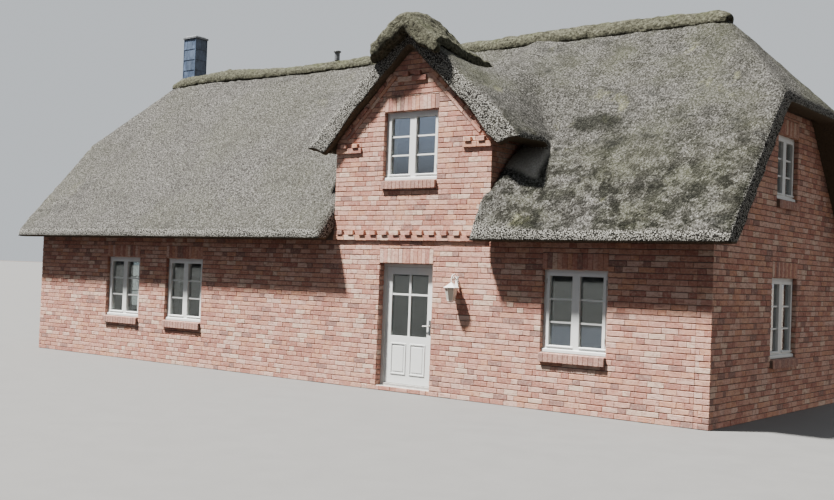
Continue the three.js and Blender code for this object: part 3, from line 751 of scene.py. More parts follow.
def modified(mesh: bpy.types.Mesh, kind: str, **settings: float | str | bool) -> bpy.types.Mesh:
    """Runs one modifier over a mesh.

    Args:
        mesh: the mesh to start from.
        kind: the modifier's type.
        settings: its options.

    Returns:
        A new mesh with the modifier's result.
    """
    holder = bpy.data.objects.new("holder", mesh)
    bpy.context.scene.collection.objects.link(holder)
    modifier = holder.modifiers.new("step", kind)
    for key, value in settings.items():
        setattr(modifier, key, value)
    seen = holder.evaluated_get(bpy.context.evaluated_depsgraph_get())
    result = bpy.data.meshes.new_from_object(seen)
    bpy.data.objects.remove(holder)
    return result


# Brickwork

class Lay(Enum):
    """How the bricks of a narrow row stand."""

    SOLDIER = "standing on end, over an opening"
    ROWLOCK = "on edge, as a sill"


@dataclass(frozen=True)
class BrickSizes:
    """The format of the facing bricks and how they are laid."""

    pitch: float = 0.250
    course: float = 1.0 / 12.0
    bed: float = 0.012
    head: float = 0.003
    proud: float = 0.009
    bite: float = 0.006
    chamfer: float = 0.004
    out_of_true: float = 0.003
    slip: float = 0.0025
    soldier: float = 0.240
    course_shift: float = 0.1875
    shortest: float = 0.055
    thinnest: float = 0.018
    most_repeats: int = 30
    sill_slip: float = 0.0015


@dataclass(frozen=True)
class Panel:
    """A flat side of the masonry: its corner and its two directions; it faces right x up."""

    origin: Vector
    right: Vector
    up: Vector

    @property
    def out(self) -> Vector:
        """The way it faces."""
        return self.right.cross(self.up)

    def at(self, u: float, v: float, w: float = 0.0) -> Vector:
        """The point u to the right, v up and w out of the panel."""
        return self.origin + self.right * u + self.up * v + self.out * w

    def jamb(self, u: float, v: float, depth: float, side: int) -> "Panel":
        """The side of an opening: the left one (-1) or the right one (+1).

        Args:
            u: the opening's edge.
            v: its foot.
            depth: how far it goes back.
            side: which side of the opening.

        Returns:
            The panel, which faces into the opening.
        """
        if side < 0:
            return Panel(self.at(u, v), -self.out, self.up)
        return Panel(self.at(u, v, -depth), self.out, self.up)

    def head(self, u: float, v: float, depth: float) -> "Panel":
        """The underside over an opening."""
        return Panel(self.at(u, v, -depth), self.right, self.out)

    def raking(self, u: float, v: float, across: float, rise: float) -> "Panel":
        """A panel in the same plane, turned to run across and up from a point."""
        along = (self.right * across + self.up * rise).normalized()
        return Panel(self.at(u, v), along, self.out.cross(along))


@dataclass
class Brickwork:
    """The bricks of one wall, gathered into one mesh."""

    name: str
    seed: int
    sizes: BrickSizes = field(default_factory=BrickSizes)
    blocks: list[list[Vector]] = field(default_factory=list)

    def __post_init__(self) -> None:
        """Starts the wall's own chance."""
        self.chance = np.random.default_rng(self.seed)

    def brick(self, panel: Panel, rectangle: Rectangle, proud: float | None = None) -> None:
        """Lays one brick, slightly out of true and with worn edges.

        Args:
            panel: the side that it shows on.
            rectangle: its left, right, lower and upper edge.
            proud: how far it stands out.
        """
        u0, u1, v0, v1 = rectangle
        sizes = self.sizes
        stand = sizes.proud if proud is None else proud
        stand += self.chance.uniform(-sizes.out_of_true, sizes.out_of_true)
        worn = sizes.chamfer * self.chance.uniform(0.6, 1.4)
        corners = np.array([(u0, v0), (u1, v0), (u1, v1), (u0, v1)])
        inward = np.array([(1, 1), (-1, 1), (-1, -1), (1, -1)])
        shown = corners + self.chance.uniform(-sizes.slip, sizes.slip, (4, 2))
        rings = [(corners, -sizes.bite), (shown, stand - 0.8 * worn), (shown + inward * worn, stand)]
        self.blocks.append([panel.at(u, v, w) for ring, w in rings for u, v in ring])

    def edge_brick(self, panel: Panel, left: float, right: float, profile: Sequence[Span]) -> None:
        """Lays one brick of a sill: its section, swept from left to right, with worn ends.

        Args:
            panel: the side that it shows on.
            left: where it starts.
            right: where it ends.
            profile: the section's corners, each its height and how far it stands out.
        """
        slip = self.sizes.sill_slip
        section = np.array(profile) + self.chance.uniform(-slip, slip, (len(profile), 2))
        middle = section.mean(axis=0)
        worn = self.sizes.chamfer
        small = section - np.sign(section - middle) * worn
        rings = [(left, small), (left + worn, section), (right - worn, section), (right, small)]
        self.blocks.append([panel.at(u, v, w) for u, ring in rings for v, w in ring])

    def courses(self, panel: Panel, span: Callable[[float], Span], low: float, high: float,
                blocked: Sequence[Rectangle] = ()) -> None:
        """Fills a panel with level courses.

        Args:
            panel: the side to fill.
            span: the left and right end of the wall at a height.
            low: the height where the courses start.
            high: the height where they stop.
            blocked: openings, lintels and sills that bricks leave free.
        """
        course = self.sizes.course
        first = math.floor(low / course + 1e-6)
        for index in range(first, math.ceil(high / course - 1e-6)):
            v0, v1 = max(index * course, low), min((index + 1) * course, high)
            ends = span((v0 + v1) / 2.0)
            if ends[1] - ends[0] > self.sizes.shortest:
                for piece in self._free(ends, (v0, v1), blocked):
                    self._row(panel, piece, index)

    def _free(self, ends: Span, height: Span, blocked: Iterable[Rectangle]) -> list[Rectangle]:
        """The stretches of a course that nothing blocks, each with the height that is left to it.

        Args:
            ends: the wall's left and right end.
            height: the course's lower and upper edge.
            blocked: what bricks leave free.

        Returns:
            The stretches, from left to right.
        """
        near = [b for b in blocked if b[2] < height[1] - 1e-4 and b[3] > height[0] + 1e-4]
        cuts = sorted({*ends, *(u for b in near for u in b[:2] if ends[0] < u < ends[1])})
        rows: list[Rectangle] = []
        for u0, u1 in zip(cuts, cuts[1:]):
            v0, v1 = height
            for b in near:
                if b[0] < (u0 + u1) / 2.0 < b[1]:
                    v0, v1 = (b[3], v1) if b[2] <= v0 else (v0, b[2])
            if v1 - v0 < self.sizes.thinnest:
                continue
            if rows and abs(rows[-1][1] - u0) < 1e-6 and rows[-1][2:] == (v0, v1):
                rows[-1] = (rows[-1][0], u1, v0, v1)
            else:
                rows.append((u0, u1, v0, v1))
        return rows

    def _row(self, panel: Panel, piece: Rectangle, index: int) -> None:
        """Lays a course of two stretchers and a header in turn along one stretch.

        Args:
            panel: the side that it shows on.
            piece: the stretch.
            index: the number of the course.
        """
        u0, u1, v0, v1 = piece
        pitch, most = self.sizes.pitch, self.sizes.most_repeats
        repeat = 2.5 * pitch
        start = -(index * self.sizes.course_shift) % repeat
        joints = [start + repeat * turn + step for turn in range(-most, most + 1)
                  for step in (0.0, pitch, 2.0 * pitch)]
        inside = [u for u in joints if u0 + self.sizes.shortest < u < u1 - self.sizes.shortest]
        edges = [u0, *inside, u1]
        head, bed = self.sizes.head / 2.0, self.sizes.bed / 2.0
        for left, right in zip(edges, edges[1:]):
            self.brick(panel, (left + head * (left > u0), right - head * (right < u1), v0 + bed, v1 - bed))

    def row_of(self, lay: Lay, panel: Panel, area: Rectangle, profile: Sequence[Span] = ()) -> None:
        """Lays a row of narrow bricks, side by side, over an opening or as a sill.

        Args:
            lay: how they stand.
            panel: the side that they show on.
            area: the row's left, right, lower and upper edge.
            profile: the section of a sill's bricks.
        """
        u0, u1, v0, v1 = area
        count = max(1, round((u1 - u0) / self.sizes.course))
        width = (u1 - u0) / count
        half = self.sizes.head / 2.0
        for index in range(count):
            left, right = u0 + index * width + half, u0 + (index + 1) * width - half
            if lay is Lay.ROWLOCK:
                self.edge_brick(panel, left, right, profile)
            else:
                self.brick(panel, (left, right, v0, v1))

    def finish(self, material: bpy.types.Material) -> None:
        """Joins the bricks into one piece on the house.

        Args:
            material: the bricks' finish.
        """
        points: list[Vector] = []
        faces: list[tuple[int, ...]] = []
        for block in self.blocks:
            start, top = len(points), len(points) + len(block) - 4
            faces += [(start + 3, start + 2, start + 1, start), (top, top + 1, top + 2, top + 3)]
            for level in range(start, top, 4):
                for i, j in ((0, 1), (1, 2), (2, 3), (3, 0)):
                    faces.append((level + i, level + j, level + 4 + j, level + 4 + i))
            points += block
        mesh = bpy.data.meshes.new(self.name)
        mesh.from_pydata(points, [], faces)
        add_piece(self.name, mesh, material, "brick")


@dataclass(frozen=True)
class Opening:
    """A window or door opening in a panel, with the brickwork round it."""

    edges: Rectangle
    reveal: float
    sill: bool = True
    sill_proud: float = 0.050
    sill_fall: float = 0.025
    sill_height: float = 0.110

    def blocked(self, sizes: BrickSizes) -> list[Rectangle]:
        """What the level courses leave free: the opening, its lintel and its sill.

        Args:
            sizes: the bricks' format.

        Returns:
            The rectangles.
        """
        u0, u1, v0, v1 = self.edges
        areas = [(u0, u1, v0, v1), (u0, u1, v1 - 0.001, v1 + sizes.soldier)]
        if self.sill:
            areas.append((u0, u1, v0 - self.sill_height - self.sill_fall, v0 + 0.001))
        return areas

    def build(self, work: Brickwork, sills: Brickwork, panel: Panel) -> None:
        """Lays the lintel, the jambs and the sill.

        Args:
            work: the wall's bricks.
            sills: the sills' darker bricks.
            panel: the side that the opening is in.
        """
        u0, u1, v0, v1 = self.edges
        half = work.sizes.bed / 2.0
        work.row_of(Lay.SOLDIER, panel, (u0, u1, v1 + 0.002, v1 + work.sizes.soldier - half))
        work.row_of(Lay.SOLDIER, panel.head(u0, v1, self.reveal), (0.0, u1 - u0, 0.0, self.reveal))
        for side, u in ((-1, u0), (1, u1)):
            jamb = panel.jamb(u, 0.0, self.reveal, side)
            work.courses(jamb, lambda _: (0.0, self.reveal), v0, v1)
        if self.sill:
            over = work.sizes.proud
            foot = v0 - self.sill_fall - self.sill_height - over
            front, inner, outer = self.sill_proud + over, v0 + 0.6 * over, v0 - self.sill_fall + 0.6 * over
            profile = [(foot, -self.reveal), (inner, -self.reveal), (outer, front), (foot, front)]
            sills.row_of(Lay.ROWLOCK, panel, (u0, u1, v0, v1), profile)


@dataclass(frozen=True)
class HouseSizes:
    """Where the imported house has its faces, in metres."""

    wall_x: float = 7.9
    wall_y: float = 2.75
    rise: float = math.tan(math.radians(49.2))
    eave_y: float = 3.17
    eave_tip: float = 2.647
    verge_x: float = 8.3
    hip_eave: float = 4.78
    hip_run: float = 1.5
    thatch: float = 0.3
    dormer_x: float = 2.62
    dormer_half: float = 1.625
    dormer_eave_half: float = 2.22
    dormer_eave: float = 4.16
    dormer_ridge: float = 6.18
    dormer_front: float = -2.90
    dormer_fall: float = 0.25
    dormer_thatch: float = 0.45
    band: float = 2.5
    window_reveal: float = 0.065
    door_reveal: float = 0.110

    @property
    def ridge(self) -> float:
        """Height of the main roof's arris under the ridge cover."""
        return self.eave_tip + self.eave_y * self.rise

    @property
    def ridge_end(self) -> float:
        """How far the ridge reaches before the hips."""
        return self.verge_x - self.hip_run

    @property
    def hip_rise(self) -> float:
        """The hips' slope."""
        return (self.ridge - self.hip_eave) / self.hip_run

    @property
    def under_ridge(self) -> float:
        """Height of the main roof's inner face under the ridge."""
        return self.ridge - self.thatch * math.hypot(1.0, self.rise)

    def main_top(self, y: np.ndarray) -> np.ndarray:
        """Height of the main roof's surface at a distance from the ridge."""
        return self.ridge - abs(y) * self.rise

    def dormer_top(self, x: np.ndarray, y: np.ndarray) -> np.ndarray:
        """Height of the dormer roof's surface.

        Args:
            x: places along the house.
            y: places across it.

        Returns:
            The heights.
        """
        ridge = self.dormer_ridge - (y - self.dormer_front) * self.dormer_fall
        share = 1.0 - abs(x - self.dormer_x) / self.dormer_eave_half
        return self.dormer_eave + (ridge - self.dormer_eave) * share


HOUSE = HouseSizes()


def opening_of(node: str, panel: Panel) -> Opening:
    """The opening that a packed window or door frame fills.

    Args:
        node: the window's or frame's node.
        panel: the side that it is in.

    Returns:
        The opening, in the panel's own directions, with a sill if it is a window.
    """
    corners = [corner - panel.origin for corner in box_of(node)]
    u0, u1 = sorted(corner.dot(panel.right) for corner in corners)
    v0, v1 = sorted(corner.dot(panel.up) for corner in corners)
    sill = "window" in node
    return Opening((u0, u1, v0, v1), HOUSE.window_reveal if sill else HOUSE.door_reveal, sill)


@dataclass
class Masonry:
    """All the bricks of the house, wall by wall, and the finish of the solids behind them."""

    house: HouseSizes = HOUSE
    band_proud: float = 0.040
    dentil: float = 0.118
    dentil_high: float = 0.070
    dentil_proud: float = 0.060
    dentil_pitch: float = 0.250
    string_shift: float = 0.033
    corner_joint: float = 7.688
    shoulder: Span = (1.19, 1.45)
    shoulder_foot: float = 3.99
    shoulder_long: Span = (0.57, 0.54)
    apex: Rectangle = (-0.3, 0.3, -0.125, 0.125)
    apex_foot: float = 5.14
    rake_high: Span = (0.33, 5.235)
    rake_low: Span = (1.39, 4.205)
    rake_width: float = 0.053
    rake_proud: float = 0.023
    rake_tooth: float = 0.078
    rake_tooth_high: float = 0.075
    rake_tooth_proud: float = 0.035
    end_top: float = 4.67
    cheek: Span = (3.05, 4.35)
    tucked: float = 0.03
    cheek_tucked: float = 0.15
    sill_tones: tuple[Colour, ...] = (
        (0.34, 0.19, 0.15), (0.40, 0.23, 0.18), (0.29, 0.17, 0.14), (0.37, 0.22, 0.18),
    )

    def build(self) -> None:
        """Lays the bricks of every wall and gives the walls behind them their mortar and plaster."""
        self.brick = BrickFinish().material()
        self.sills = Brickwork("sill_bricks", 17)
        mortar = MortarFinish().material()
        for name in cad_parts:
            if name.endswith("_wall") or "_wall_" in name or "cheek" in name or name == "chimney_shaft":
                finish_solid(name, mortar)
        core = solid_mesh("gable_wall")
        for vert in core.vertices:
            vert.co.y = max(vert.co.y, -self.house.wall_y)
        add_piece("gable_wall_core", core, mortar, "brick", "gable_wall")
        self._front()
        self._gable()
        self._back()
        for side, word in ((-1, "left"), (1, "right")):
            self._end(side, word)
            self._cheek(side, word)
        self.sills.finish(BrickFinish("sill_brick", self.sill_tones).material())

    @staticmethod
    def _facing(x: float, y: float) -> Panel:
        """The panel through (x, y) at the ground that faces away from the house's middle.

        Args:
            x: its place along the house.
            y: its place across it, or 0 for an end.

        Returns:
            The panel.
        """
        out = Vector((math.copysign(1.0, x), 0.0, 0.0))
        if y != 0.0:
            out = Vector((0.0, math.copysign(1.0, y), 0.0))
        return Panel(Vector((x, y, 0.0)), UP.cross(out), UP)

    def _fill(self, work: Brickwork, panel: Panel, names: Iterable[str], height: Span,
              *spans: Callable[[float], Span]) -> None:
        """Lays level courses round the openings of a wall, and the bricks of the openings.

        Args:
            work: the wall's bricks.
            panel: the side to fill.
            names: the windows and the door frame in it.
            height: where the courses start and stop.
            spans: for each stretch of wall, its left and right end at a height.
        """
        openings = [opening_of(name, panel) for name in names]
        blocked = [area for opening in openings for area in opening.blocked(work.sizes)]
        for span in spans:
            work.courses(panel, span, *height, blocked)
        for opening in openings:
            opening.build(work, self.sills, panel)

    def _front(self) -> None:
        """The front wall below the eaves, with a straight joint near its right end."""
        work = Brickwork("front_bricks", 11)
        half = work.sizes.head / 2.0
        end = self.house.wall_x + work.sizes.proud
        names = ("front_window_left", "front_window_centre", "front_window_right", "door_frame")
        self._fill(work, self._facing(0.0, -self.house.wall_y), names, (0.0, self.house.band),
                   lambda _: (-end, self.corner_joint - half), lambda _: (self.corner_joint + half, end))
        work.finish(self.brick)

    def _gable(self) -> None:
        """The gable over the door: courses, string band with dentils, corbels and raking bands."""
        work = Brickwork("gable_bricks", 12)
        house = self.house
        half = house.dormer_half
        panel = self._facing(house.dormer_x, -house.wall_y)
        slope = (house.dormer_ridge - house.dormer_eave) / house.dormer_eave_half
        under = house.dormer_ridge - house.dormer_thatch

        def span(height: float) -> Span:
            """The gable's width at a height."""
            reach = min(half + work.sizes.proud, (under - height) / slope + self.tucked)
            return -reach, reach

        self._fill(work, panel, ["gable_window"], (house.band, under - 0.1), span)
        row = np.arange(-half + self.dentil_pitch / 2.0, half, self.dentil_pitch) + self.string_shift
        left, right = self.shoulder_long
        for u0, u1, foot, dentils in (
            (-half, half, house.band, row),
            (-half, -half + left, self.shoulder_foot, [-u for u in self.shoulder]),
            (half - right, half, self.shoulder_foot, self.shoulder),
            (*self.apex[:2], self.apex_foot, self.apex[2:]),
        ):
            self._band(work, panel, u0, u1, foot, dentils)
        for side in (-1, 1):
            self._rake(work, panel, side)
        work.finish(self.brick)

    def _band(self, work: Brickwork, panel: Panel, left: float, right: float, foot: float,
              dentils: Iterable[float]) -> None:
        """A projecting course with dentils over it.

        Args:
            work: the wall's bricks.
            panel: the side that it is on.
            left: where it starts.
            right: where it ends.
            foot: its lower edge.
            dentils: the middles of the dentils.
        """
        count = max(2, round((right - left) / work.sizes.pitch))
        step = (right - left) / count
        half = work.sizes.head / 2.0
        top = foot + work.sizes.course
        for index in range(count):
            u0 = left + index * step
            work.brick(panel, (u0 + half, u0 + step - half, foot - 0.002, top), self.band_proud)
        reach, lower = self.dentil / 2.0 + 0.002, top + 0.004
        for u in dentils:
            work.brick(panel, (u - reach, u + reach, lower, lower + self.dentil_high), self.dentil_proud)

    def _rake(self, work: Brickwork, panel: Panel, side: int) -> None:
        """The raking band beside the gable window, with small dentils over it.

        Args:
            work: the wall's bricks.
            panel: the gable.
            side: left (-1) or right (+1).
        """
        run = self.rake_low[0] - self.rake_high[0]
        fall = self.rake_high[1] - self.rake_low[1]
        length = math.hypot(run, fall)
        if side < 0:
            rake = panel.raking(-self.rake_low[0], self.rake_low[1], run, fall)
        else:
            rake = panel.raking(*self.rake_high, run, -fall)
        half = work.sizes.head / 2.0
        count = round(length / work.sizes.pitch)
        step = length / count
        wide, small = self.rake_width, self.rake_tooth
        for index in range(count):
            middle = (index + 0.5) * step
            area = (index * step + half, (index + 1) * step - half, -0.003, wide + 0.003)
            work.brick(rake, area, self.rake_proud)
            tooth = (middle - small, middle + small, wide + 0.01, wide + self.rake_tooth_high)
            work.brick(rake, tooth, self.rake_tooth_proud)

    def _back(self) -> None:
        """The back wall."""
        work = Brickwork("back_bricks", 13)
        end = self.house.wall_x + work.sizes.proud
        panel = self._facing(0.0, self.house.wall_y)
        names = [f"back_window_{number}" for number in (1, 2, 3)]
        self._fill(work, panel, names, (0.0, self.house.band), lambda _: (-end, end))
        work.finish(self.brick)

    def _end(self, side: int, word: str) -> None:
        """One end wall, up to the hip.

        Args:
            side: left (-1) or right (+1).
            word: the side's name, for the pieces.
        """
        work = Brickwork(f"{word}_end_bricks", 14 + side)
        house = self.house

        def span(height: float) -> Span:
            """The wall's width at a height, under the thatch."""
            reach = min(house.wall_y, (house.under_ridge - height) / house.rise + self.tucked)
            return -reach, reach

        names = (f"{word}_end_window", f"{word}_end_upper_window")
        self._fill(work, self._facing(side * house.wall_x, 0.0), names, (0.0, self.end_top), span)
        work.finish(self.brick)

    def _cheek(self, side: int, word: str) -> None:
        """The dormer's brick side over the main roof.

        Args:
            side: left (-1) or right (+1).
            word: the side's name, for the pieces.
        """
        work = Brickwork(f"{word}_cheek_bricks", 24 + side)
        house = self.house
        origin = Vector((house.dormer_x + side * house.dormer_half, -house.wall_y, 0.0))
        panel = Panel(origin, UP.cross(Vector((float(side), 0.0, 0.0))), UP)

        def span(height: float) -> Span:
            """From the gable's corner back to the main roof."""
            reach = house.wall_y - (house.ridge - height) / house.rise + self.cheek_tucked
            return (0.0, reach) if side > 0 else (-reach, 0.0)

        work.courses(panel, span, *self.cheek)
        work.finish(self.brick)


# Thatch

def surface_of(mesh: bpy.types.Mesh) -> tuple[np.ndarray, np.ndarray]:
    """A mesh's corners and their outward directions, one a row.

    Args:
        mesh: the mesh.

    Returns:
        The corners and the directions.
    """
    points, normals = np.empty(len(mesh.vertices) * 3), np.empty(len(mesh.vertices) * 3)
    mesh.vertices.foreach_get("co", points)
    mesh.vertices.foreach_get("normal", normals)
    return points.reshape(-1, 3), normals.reshape(-1, 3)


def move(mesh: bpy.types.Mesh, points: np.ndarray, margin: float = 0.002) -> None:
    """Puts a mesh's corners in their new places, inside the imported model's box.

    Args:
        mesh: the mesh.
        points: the new places.
        margin: how far inside the box they stay.
    """
    inside = np.clip(points, np.array(CAD_BOX[0]) + margin, np.array(CAD_BOX[1]) - margin)
    mesh.vertices.foreach_set("co", inside.ravel())
    mesh.update()


def relax(mesh: bpy.types.Mesh, rounds: int, upper_only: bool = False) -> None:
    """Draws each corner towards the mean of its neighbours, which rounds arrises.

    Args:
        mesh: the mesh.
        rounds: how often.
        upper_only: whether faces that look down, and the edges round them, stay crisp.
    """
    points, normals = surface_of(mesh)
    pairs = np.empty(len(mesh.edges) * 2, np.int64)
    mesh.edges.foreach_get("vertices", pairs)
    pairs = pairs.reshape(-1, 2)
    share = 0.5 * smoothstep(normals[:, 2:], -0.3, 0.3) if upper_only else 0.5
    for _ in range(rounds):
        points = points + share * (neighbour_mean(points, pairs) - points)
    move(mesh, points)


def neighbour_mean(points: np.ndarray, pairs: np.ndarray) -> np.ndarray:
    """The mean of each corner's neighbours along the edges.

    Args:
        points: the corners.
        pairs: the edges, each as two numbers of corners.

    Returns:
        The mean for each corner.
    """
    total = np.zeros_like(points)
    ones = np.zeros(len(points))
    for here, there in ((0, 1), (1, 0)):
        np.add.at(ones, pairs[:, here], 1.0)
        for axis in range(3):
            total[:, axis] += np.bincount(pairs[:, here], points[pairs[:, there], axis], len(points))
    return total / ones[:, None]


def voxel_skin(voxel: float, *nodes: str) -> bpy.types.Mesh:
    """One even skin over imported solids, in squares of the given size."""
    return modified(solid_mesh(*nodes), "REMESH", mode="VOXEL", voxel_size=voxel, adaptivity=0.0)


def ridge_swell(points: np.ndarray, height: float = 0.055, middle: float = -5.3, reach: float = 1.3,
                levels: Span = (5.2, 6.2)) -> np.ndarray:
    """How far the roof's top edge is padded out towards its left end.

    Args:
        points: places, one a row.
        height: how far at its middle.
        middle: where that is along the house.
        reach: how far it spreads to both sides.
        levels: where it starts, and where it is full, up the roof.

    Returns:
        The rise at each place.
    """
    return height * smoothstep(points[:, 2], *levels) * np.exp(-((points[:, 0] - middle) / reach) ** 2)


@dataclass
class Thatch:
    """The reed coat of the main roof and the dormer, one soft skin cut along the ridge and the hips."""

    house: HouseSizes = HOUSE
    voxel: float = 0.05
    soften: int = 7
    sweep: float = 2.3
    sweep_skin: float = 0.15
    sweep_front: float = 0.2
    sweep_side: Span = (0.3, 0.9)
    sweep_up: Span = (-0.05, 0.8)
    heap: float = 0.26
    heap_side: Span = (-0.02, 0.85)
    heap_start: float = -0.2
    heap_top: float = 4.0
    heap_front: Span = (1.7, 2.5)
    heap_tip: Span = (2.85, 3.2)
    shove: float = 0.10
    shove_front: Span = (2.78, 2.90)
    shove_side: float = 0.3
    lip: float = 0.11
    lip_middle: float = 1.72
    lip_reach: float = 0.30
    lip_foot: float = 3.8
    lip_height: Span = (0.05, 0.35)
    lip_front: Span = (2.74, 2.80)
    unevenness: tuple[tuple[float, float, int], ...] = (
        (0.016, 0.6, 1), (0.009, 2.6, 2), (0.008, 9.0, 3), (0.006, 17.0, 4),
    )

    def build(self) -> None:
        """Fuses the thatch solids, softens and roughens them, and cuts them into the four coats."""
        fronts = ("front_thatch_left", "front_thatch_over_dormer", "front_thatch_right",
                  "dormer_thatch_left", "dormer_thatch_right")
        hips = ("left_hip_thatch", "right_hip_thatch")
        whole = voxel_skin(self.voxel, *fronts, *hips, "back_thatch")
        self._weather(whole)
        finish = ThatchFinish().material()
        for name, sides, nodes in (
            ("front_reed_coat", self._main_planes(-1.0), fronts),
            ("back_reed_coat", self._main_planes(1.0), ("back_thatch",)),
            ("left_hip_coat", self._hip_planes(-1.0), hips[:1]),
            ("right_hip_coat", self._hip_planes(1.0), hips[1:]),
        ):
            add_piece(name, self._cut(whole, sides), finish, "thatch", *nodes, smooth=True)

    def _mitre(self, side: float, face: float) -> Plane:
        """A point and an outward direction, towards the hip, for half of a mitre.

        Args:
            side: the hip, left (-1) or right (+1).
            face: the half, front (-1) or back (+1).

        Returns:
            The point and the direction.
        """
        house = self.house
        slope = Vector((0.0, face * house.rise, 1.0))
        hip = Vector((side * house.hip_rise, 0.0, 1.0))
        return Vector((side * house.ridge_end, 0.0, house.ridge)), hip - slope

    def _main_planes(self, face: float) -> list[Plane]:
        """The planes round a main coat; what lies on their outer side belongs to its neighbours."""
        ridge = (Vector((0.0, 0.0, 0.0)), Vector((0.0, -face, 0.0)))
        return [ridge, *(self._mitre(side, face) for side in (-1.0, 1.0))]

    def _hip_planes(self, side: float) -> list[Plane]:
        """The two mitres that bound a hip."""
        return [(point, -out) for point, out in (self._mitre(side, face) for face in (-1.0, 1.0))]

    @staticmethod
    def _cut(whole: bpy.types.Mesh, planes: Sequence[Plane]) -> bpy.types.Mesh:
        """One coat: the skin's part on the inner side of every plane, closed along the cuts.

        Args:
            whole: the whole skin.
            planes: points and outward directions.

        Returns:
            The coat's mesh.
        """
        part = bmesh.new()
        part.from_mesh(whole)
        for point, out in planes:
            geometry = [*part.verts, *part.edges, *part.faces]
            cut = bmesh.ops.bisect_plane(part, geom=geometry, plane_co=point, plane_no=out, clear_outer=True)
            rim = [item for item in cut["geom_cut"] if isinstance(item, bmesh.types.BMEdge)]
            bmesh.ops.edgenet_fill(part, edges=rim, sides=0)
        bmesh.ops.recalc_face_normals(part, faces=part.faces)
        return turned_out(part)

    def _weather(self, mesh: bpy.types.Mesh) -> None:
        """Rounds the arrises, sweeps the valleys, heaps the eave beside the dormer, hangs the dormer's verge
        lips, and gives the outside its lumps and swell.

        Args:
            mesh: the whole skin.
        """
        relax(mesh, self.soften, upper_only=True)
        points, normals = surface_of(mesh)
        points[:, 2] += self._swept(points, normals)
        points += self._heaped(points, normals)
        move(mesh, points)
        relax(mesh, 4, upper_only=True)
        points, normals = surface_of(mesh)
        points[:, 2] -= self._hanging(points)
        outside = smoothstep(normals[:, 2], -0.25, 0.15)
        points += normals * (outside * lumps(points, self.unevenness))[:, None]
        points[:, 2] += ridge_swell(points)
        move(mesh, points)

    def _hanging(self, points: np.ndarray) -> np.ndarray:
        """How far the lower lip of the dormer's verges hangs down in front of the gable's corners.

        Args:
            points: the skin's corners.

        Returns:
            How far each corner sinks.
        """
        across = np.abs(points[:, 0] - self.house.dormer_x)
        under = self.house.dormer_top(points[:, 0], points[:, 1]) - self.house.dormer_thatch
        lower = 1.0 - smoothstep(points[:, 2] - under, *self.lip_height)
        before = smoothstep(-points[:, 1], *self.lip_front) * (points[:, 2] > self.lip_foot)
        return self.lip * lower * before * np.exp(-((across - self.lip_middle) / self.lip_reach) ** 2)

    def _heaped(self, points: np.ndarray, normals: np.ndarray) -> np.ndarray:
        """How the eave is built up and out beside the dormer's right cheek, in front of the gable's corner.

        Args:
            points: the skin's corners.
            normals: their outward directions.

        Returns:
            The shift of each corner.
        """
        corner = self.house.dormer_x + self.house.dormer_half
        beside = 1.0 - smoothstep(points[:, 0], corner + self.heap_side[0], corner + self.heap_side[1])
        beside *= (points[:, 0] > corner + self.heap_start) * (points[:, 2] < self.heap_top)
        forward = smoothstep(-points[:, 1], *self.heap_front)
        tip = smoothstep(-points[:, 1], *self.heap_tip)
        shift = np.zeros_like(points)
        shift[:, 2] = self.heap * beside * forward * (1.0 - 0.8 * tip) * smoothstep(normals[:, 2], -0.1, 0.4)
        before = smoothstep(-points[:, 1], *self.shove_front) * (beside > 0.0)
        near = 1.0 - smoothstep(points[:, 0], corner, corner + self.shove_side)
        shift[:, 0] = -self.shove * before * near
        return shift

    def _swept(self, points: np.ndarray, normals: np.ndarray) -> np.ndarray:
        """How far the reed is built up where the dormer's slopes run into the main roof.

        Args:
            points: the skin's corners.
            normals: their outward directions.

        Returns:
            The rise of each corner.
        """
        main = self.house.main_top(points[:, 1])
        dormer = self.house.dormer_top(points[:, 0], points[:, 1])
        near = np.clip(1.0 - np.abs(main - dormer) / self.sweep, 0.0, 1.0)
        outer = np.abs(points[:, 2] - np.maximum(main, dormer)) < self.sweep_skin
        outer &= points[:, 1] < -self.sweep_front
        beside = smoothstep(np.abs(points[:, 0] - self.house.dormer_x), *self.sweep_side)
        above = smoothstep(points[:, 2], *(self.house.dormer_eave + up for up in self.sweep_up))
        return 0.25 * self.sweep * near ** 2 * outer * beside * above * smoothstep(normals[:, 2], 0.1, 0.4)


@dataclass
class RidgeCovers:
    """The heather and sod rolls over the main ridge and over the dormer's."""

    voxel: float = 0.035
    soften: int = 3
    shares: tuple[tuple[float, float, int], ...] = ((0.8, 2.2, 7), (0.7, 6.0, 8), (0.5, 14.0, 9))

    def build(self) -> None:
        """Makes both covers, soft and lumpy; the main one follows the ridge's swell."""
        finish = SodFinish().material()
        for name, node, lump in (("main_ridge_sods", "ridge_cover", 0.022),
                                 ("dormer_ridge_sods", "dormer_ridge_cover", 0.030)):
            mesh = voxel_skin(self.voxel, node)
            relax(mesh, self.soften)
            points, normals = surface_of(mesh)
            points += normals * (lump * lumps(points, self.shares))[:, None]
            if node == "ridge_cover":
                points[:, 2] += ridge_swell(points)
            move(mesh, points)
            add_piece(name, mesh, finish, "ridge_sod", node, smooth=True)


# Joinery

def worn_edges(mesh: bpy.types.Mesh, width: float, merge: bool = True) -> bpy.types.Mesh:
    """Rounds a solid's arrises.

    Args:
        mesh: the solid.
        width: how wide the rounded arris is.
        merge: whether its flat faces are merged first, which doesn't suit faces with holes.

    Returns:
        A new mesh.
    """
    if merge:
        mesh = modified(mesh, "DECIMATE", decimate_type="DISSOLVE", angle_limit=math.radians(0.5))
    return modified(mesh, "BEVEL", width=width, segments=2, limit_method="ANGLE",
                    angle_limit=math.radians(30.0), use_clamp_overlap=True, harden_normals=False)


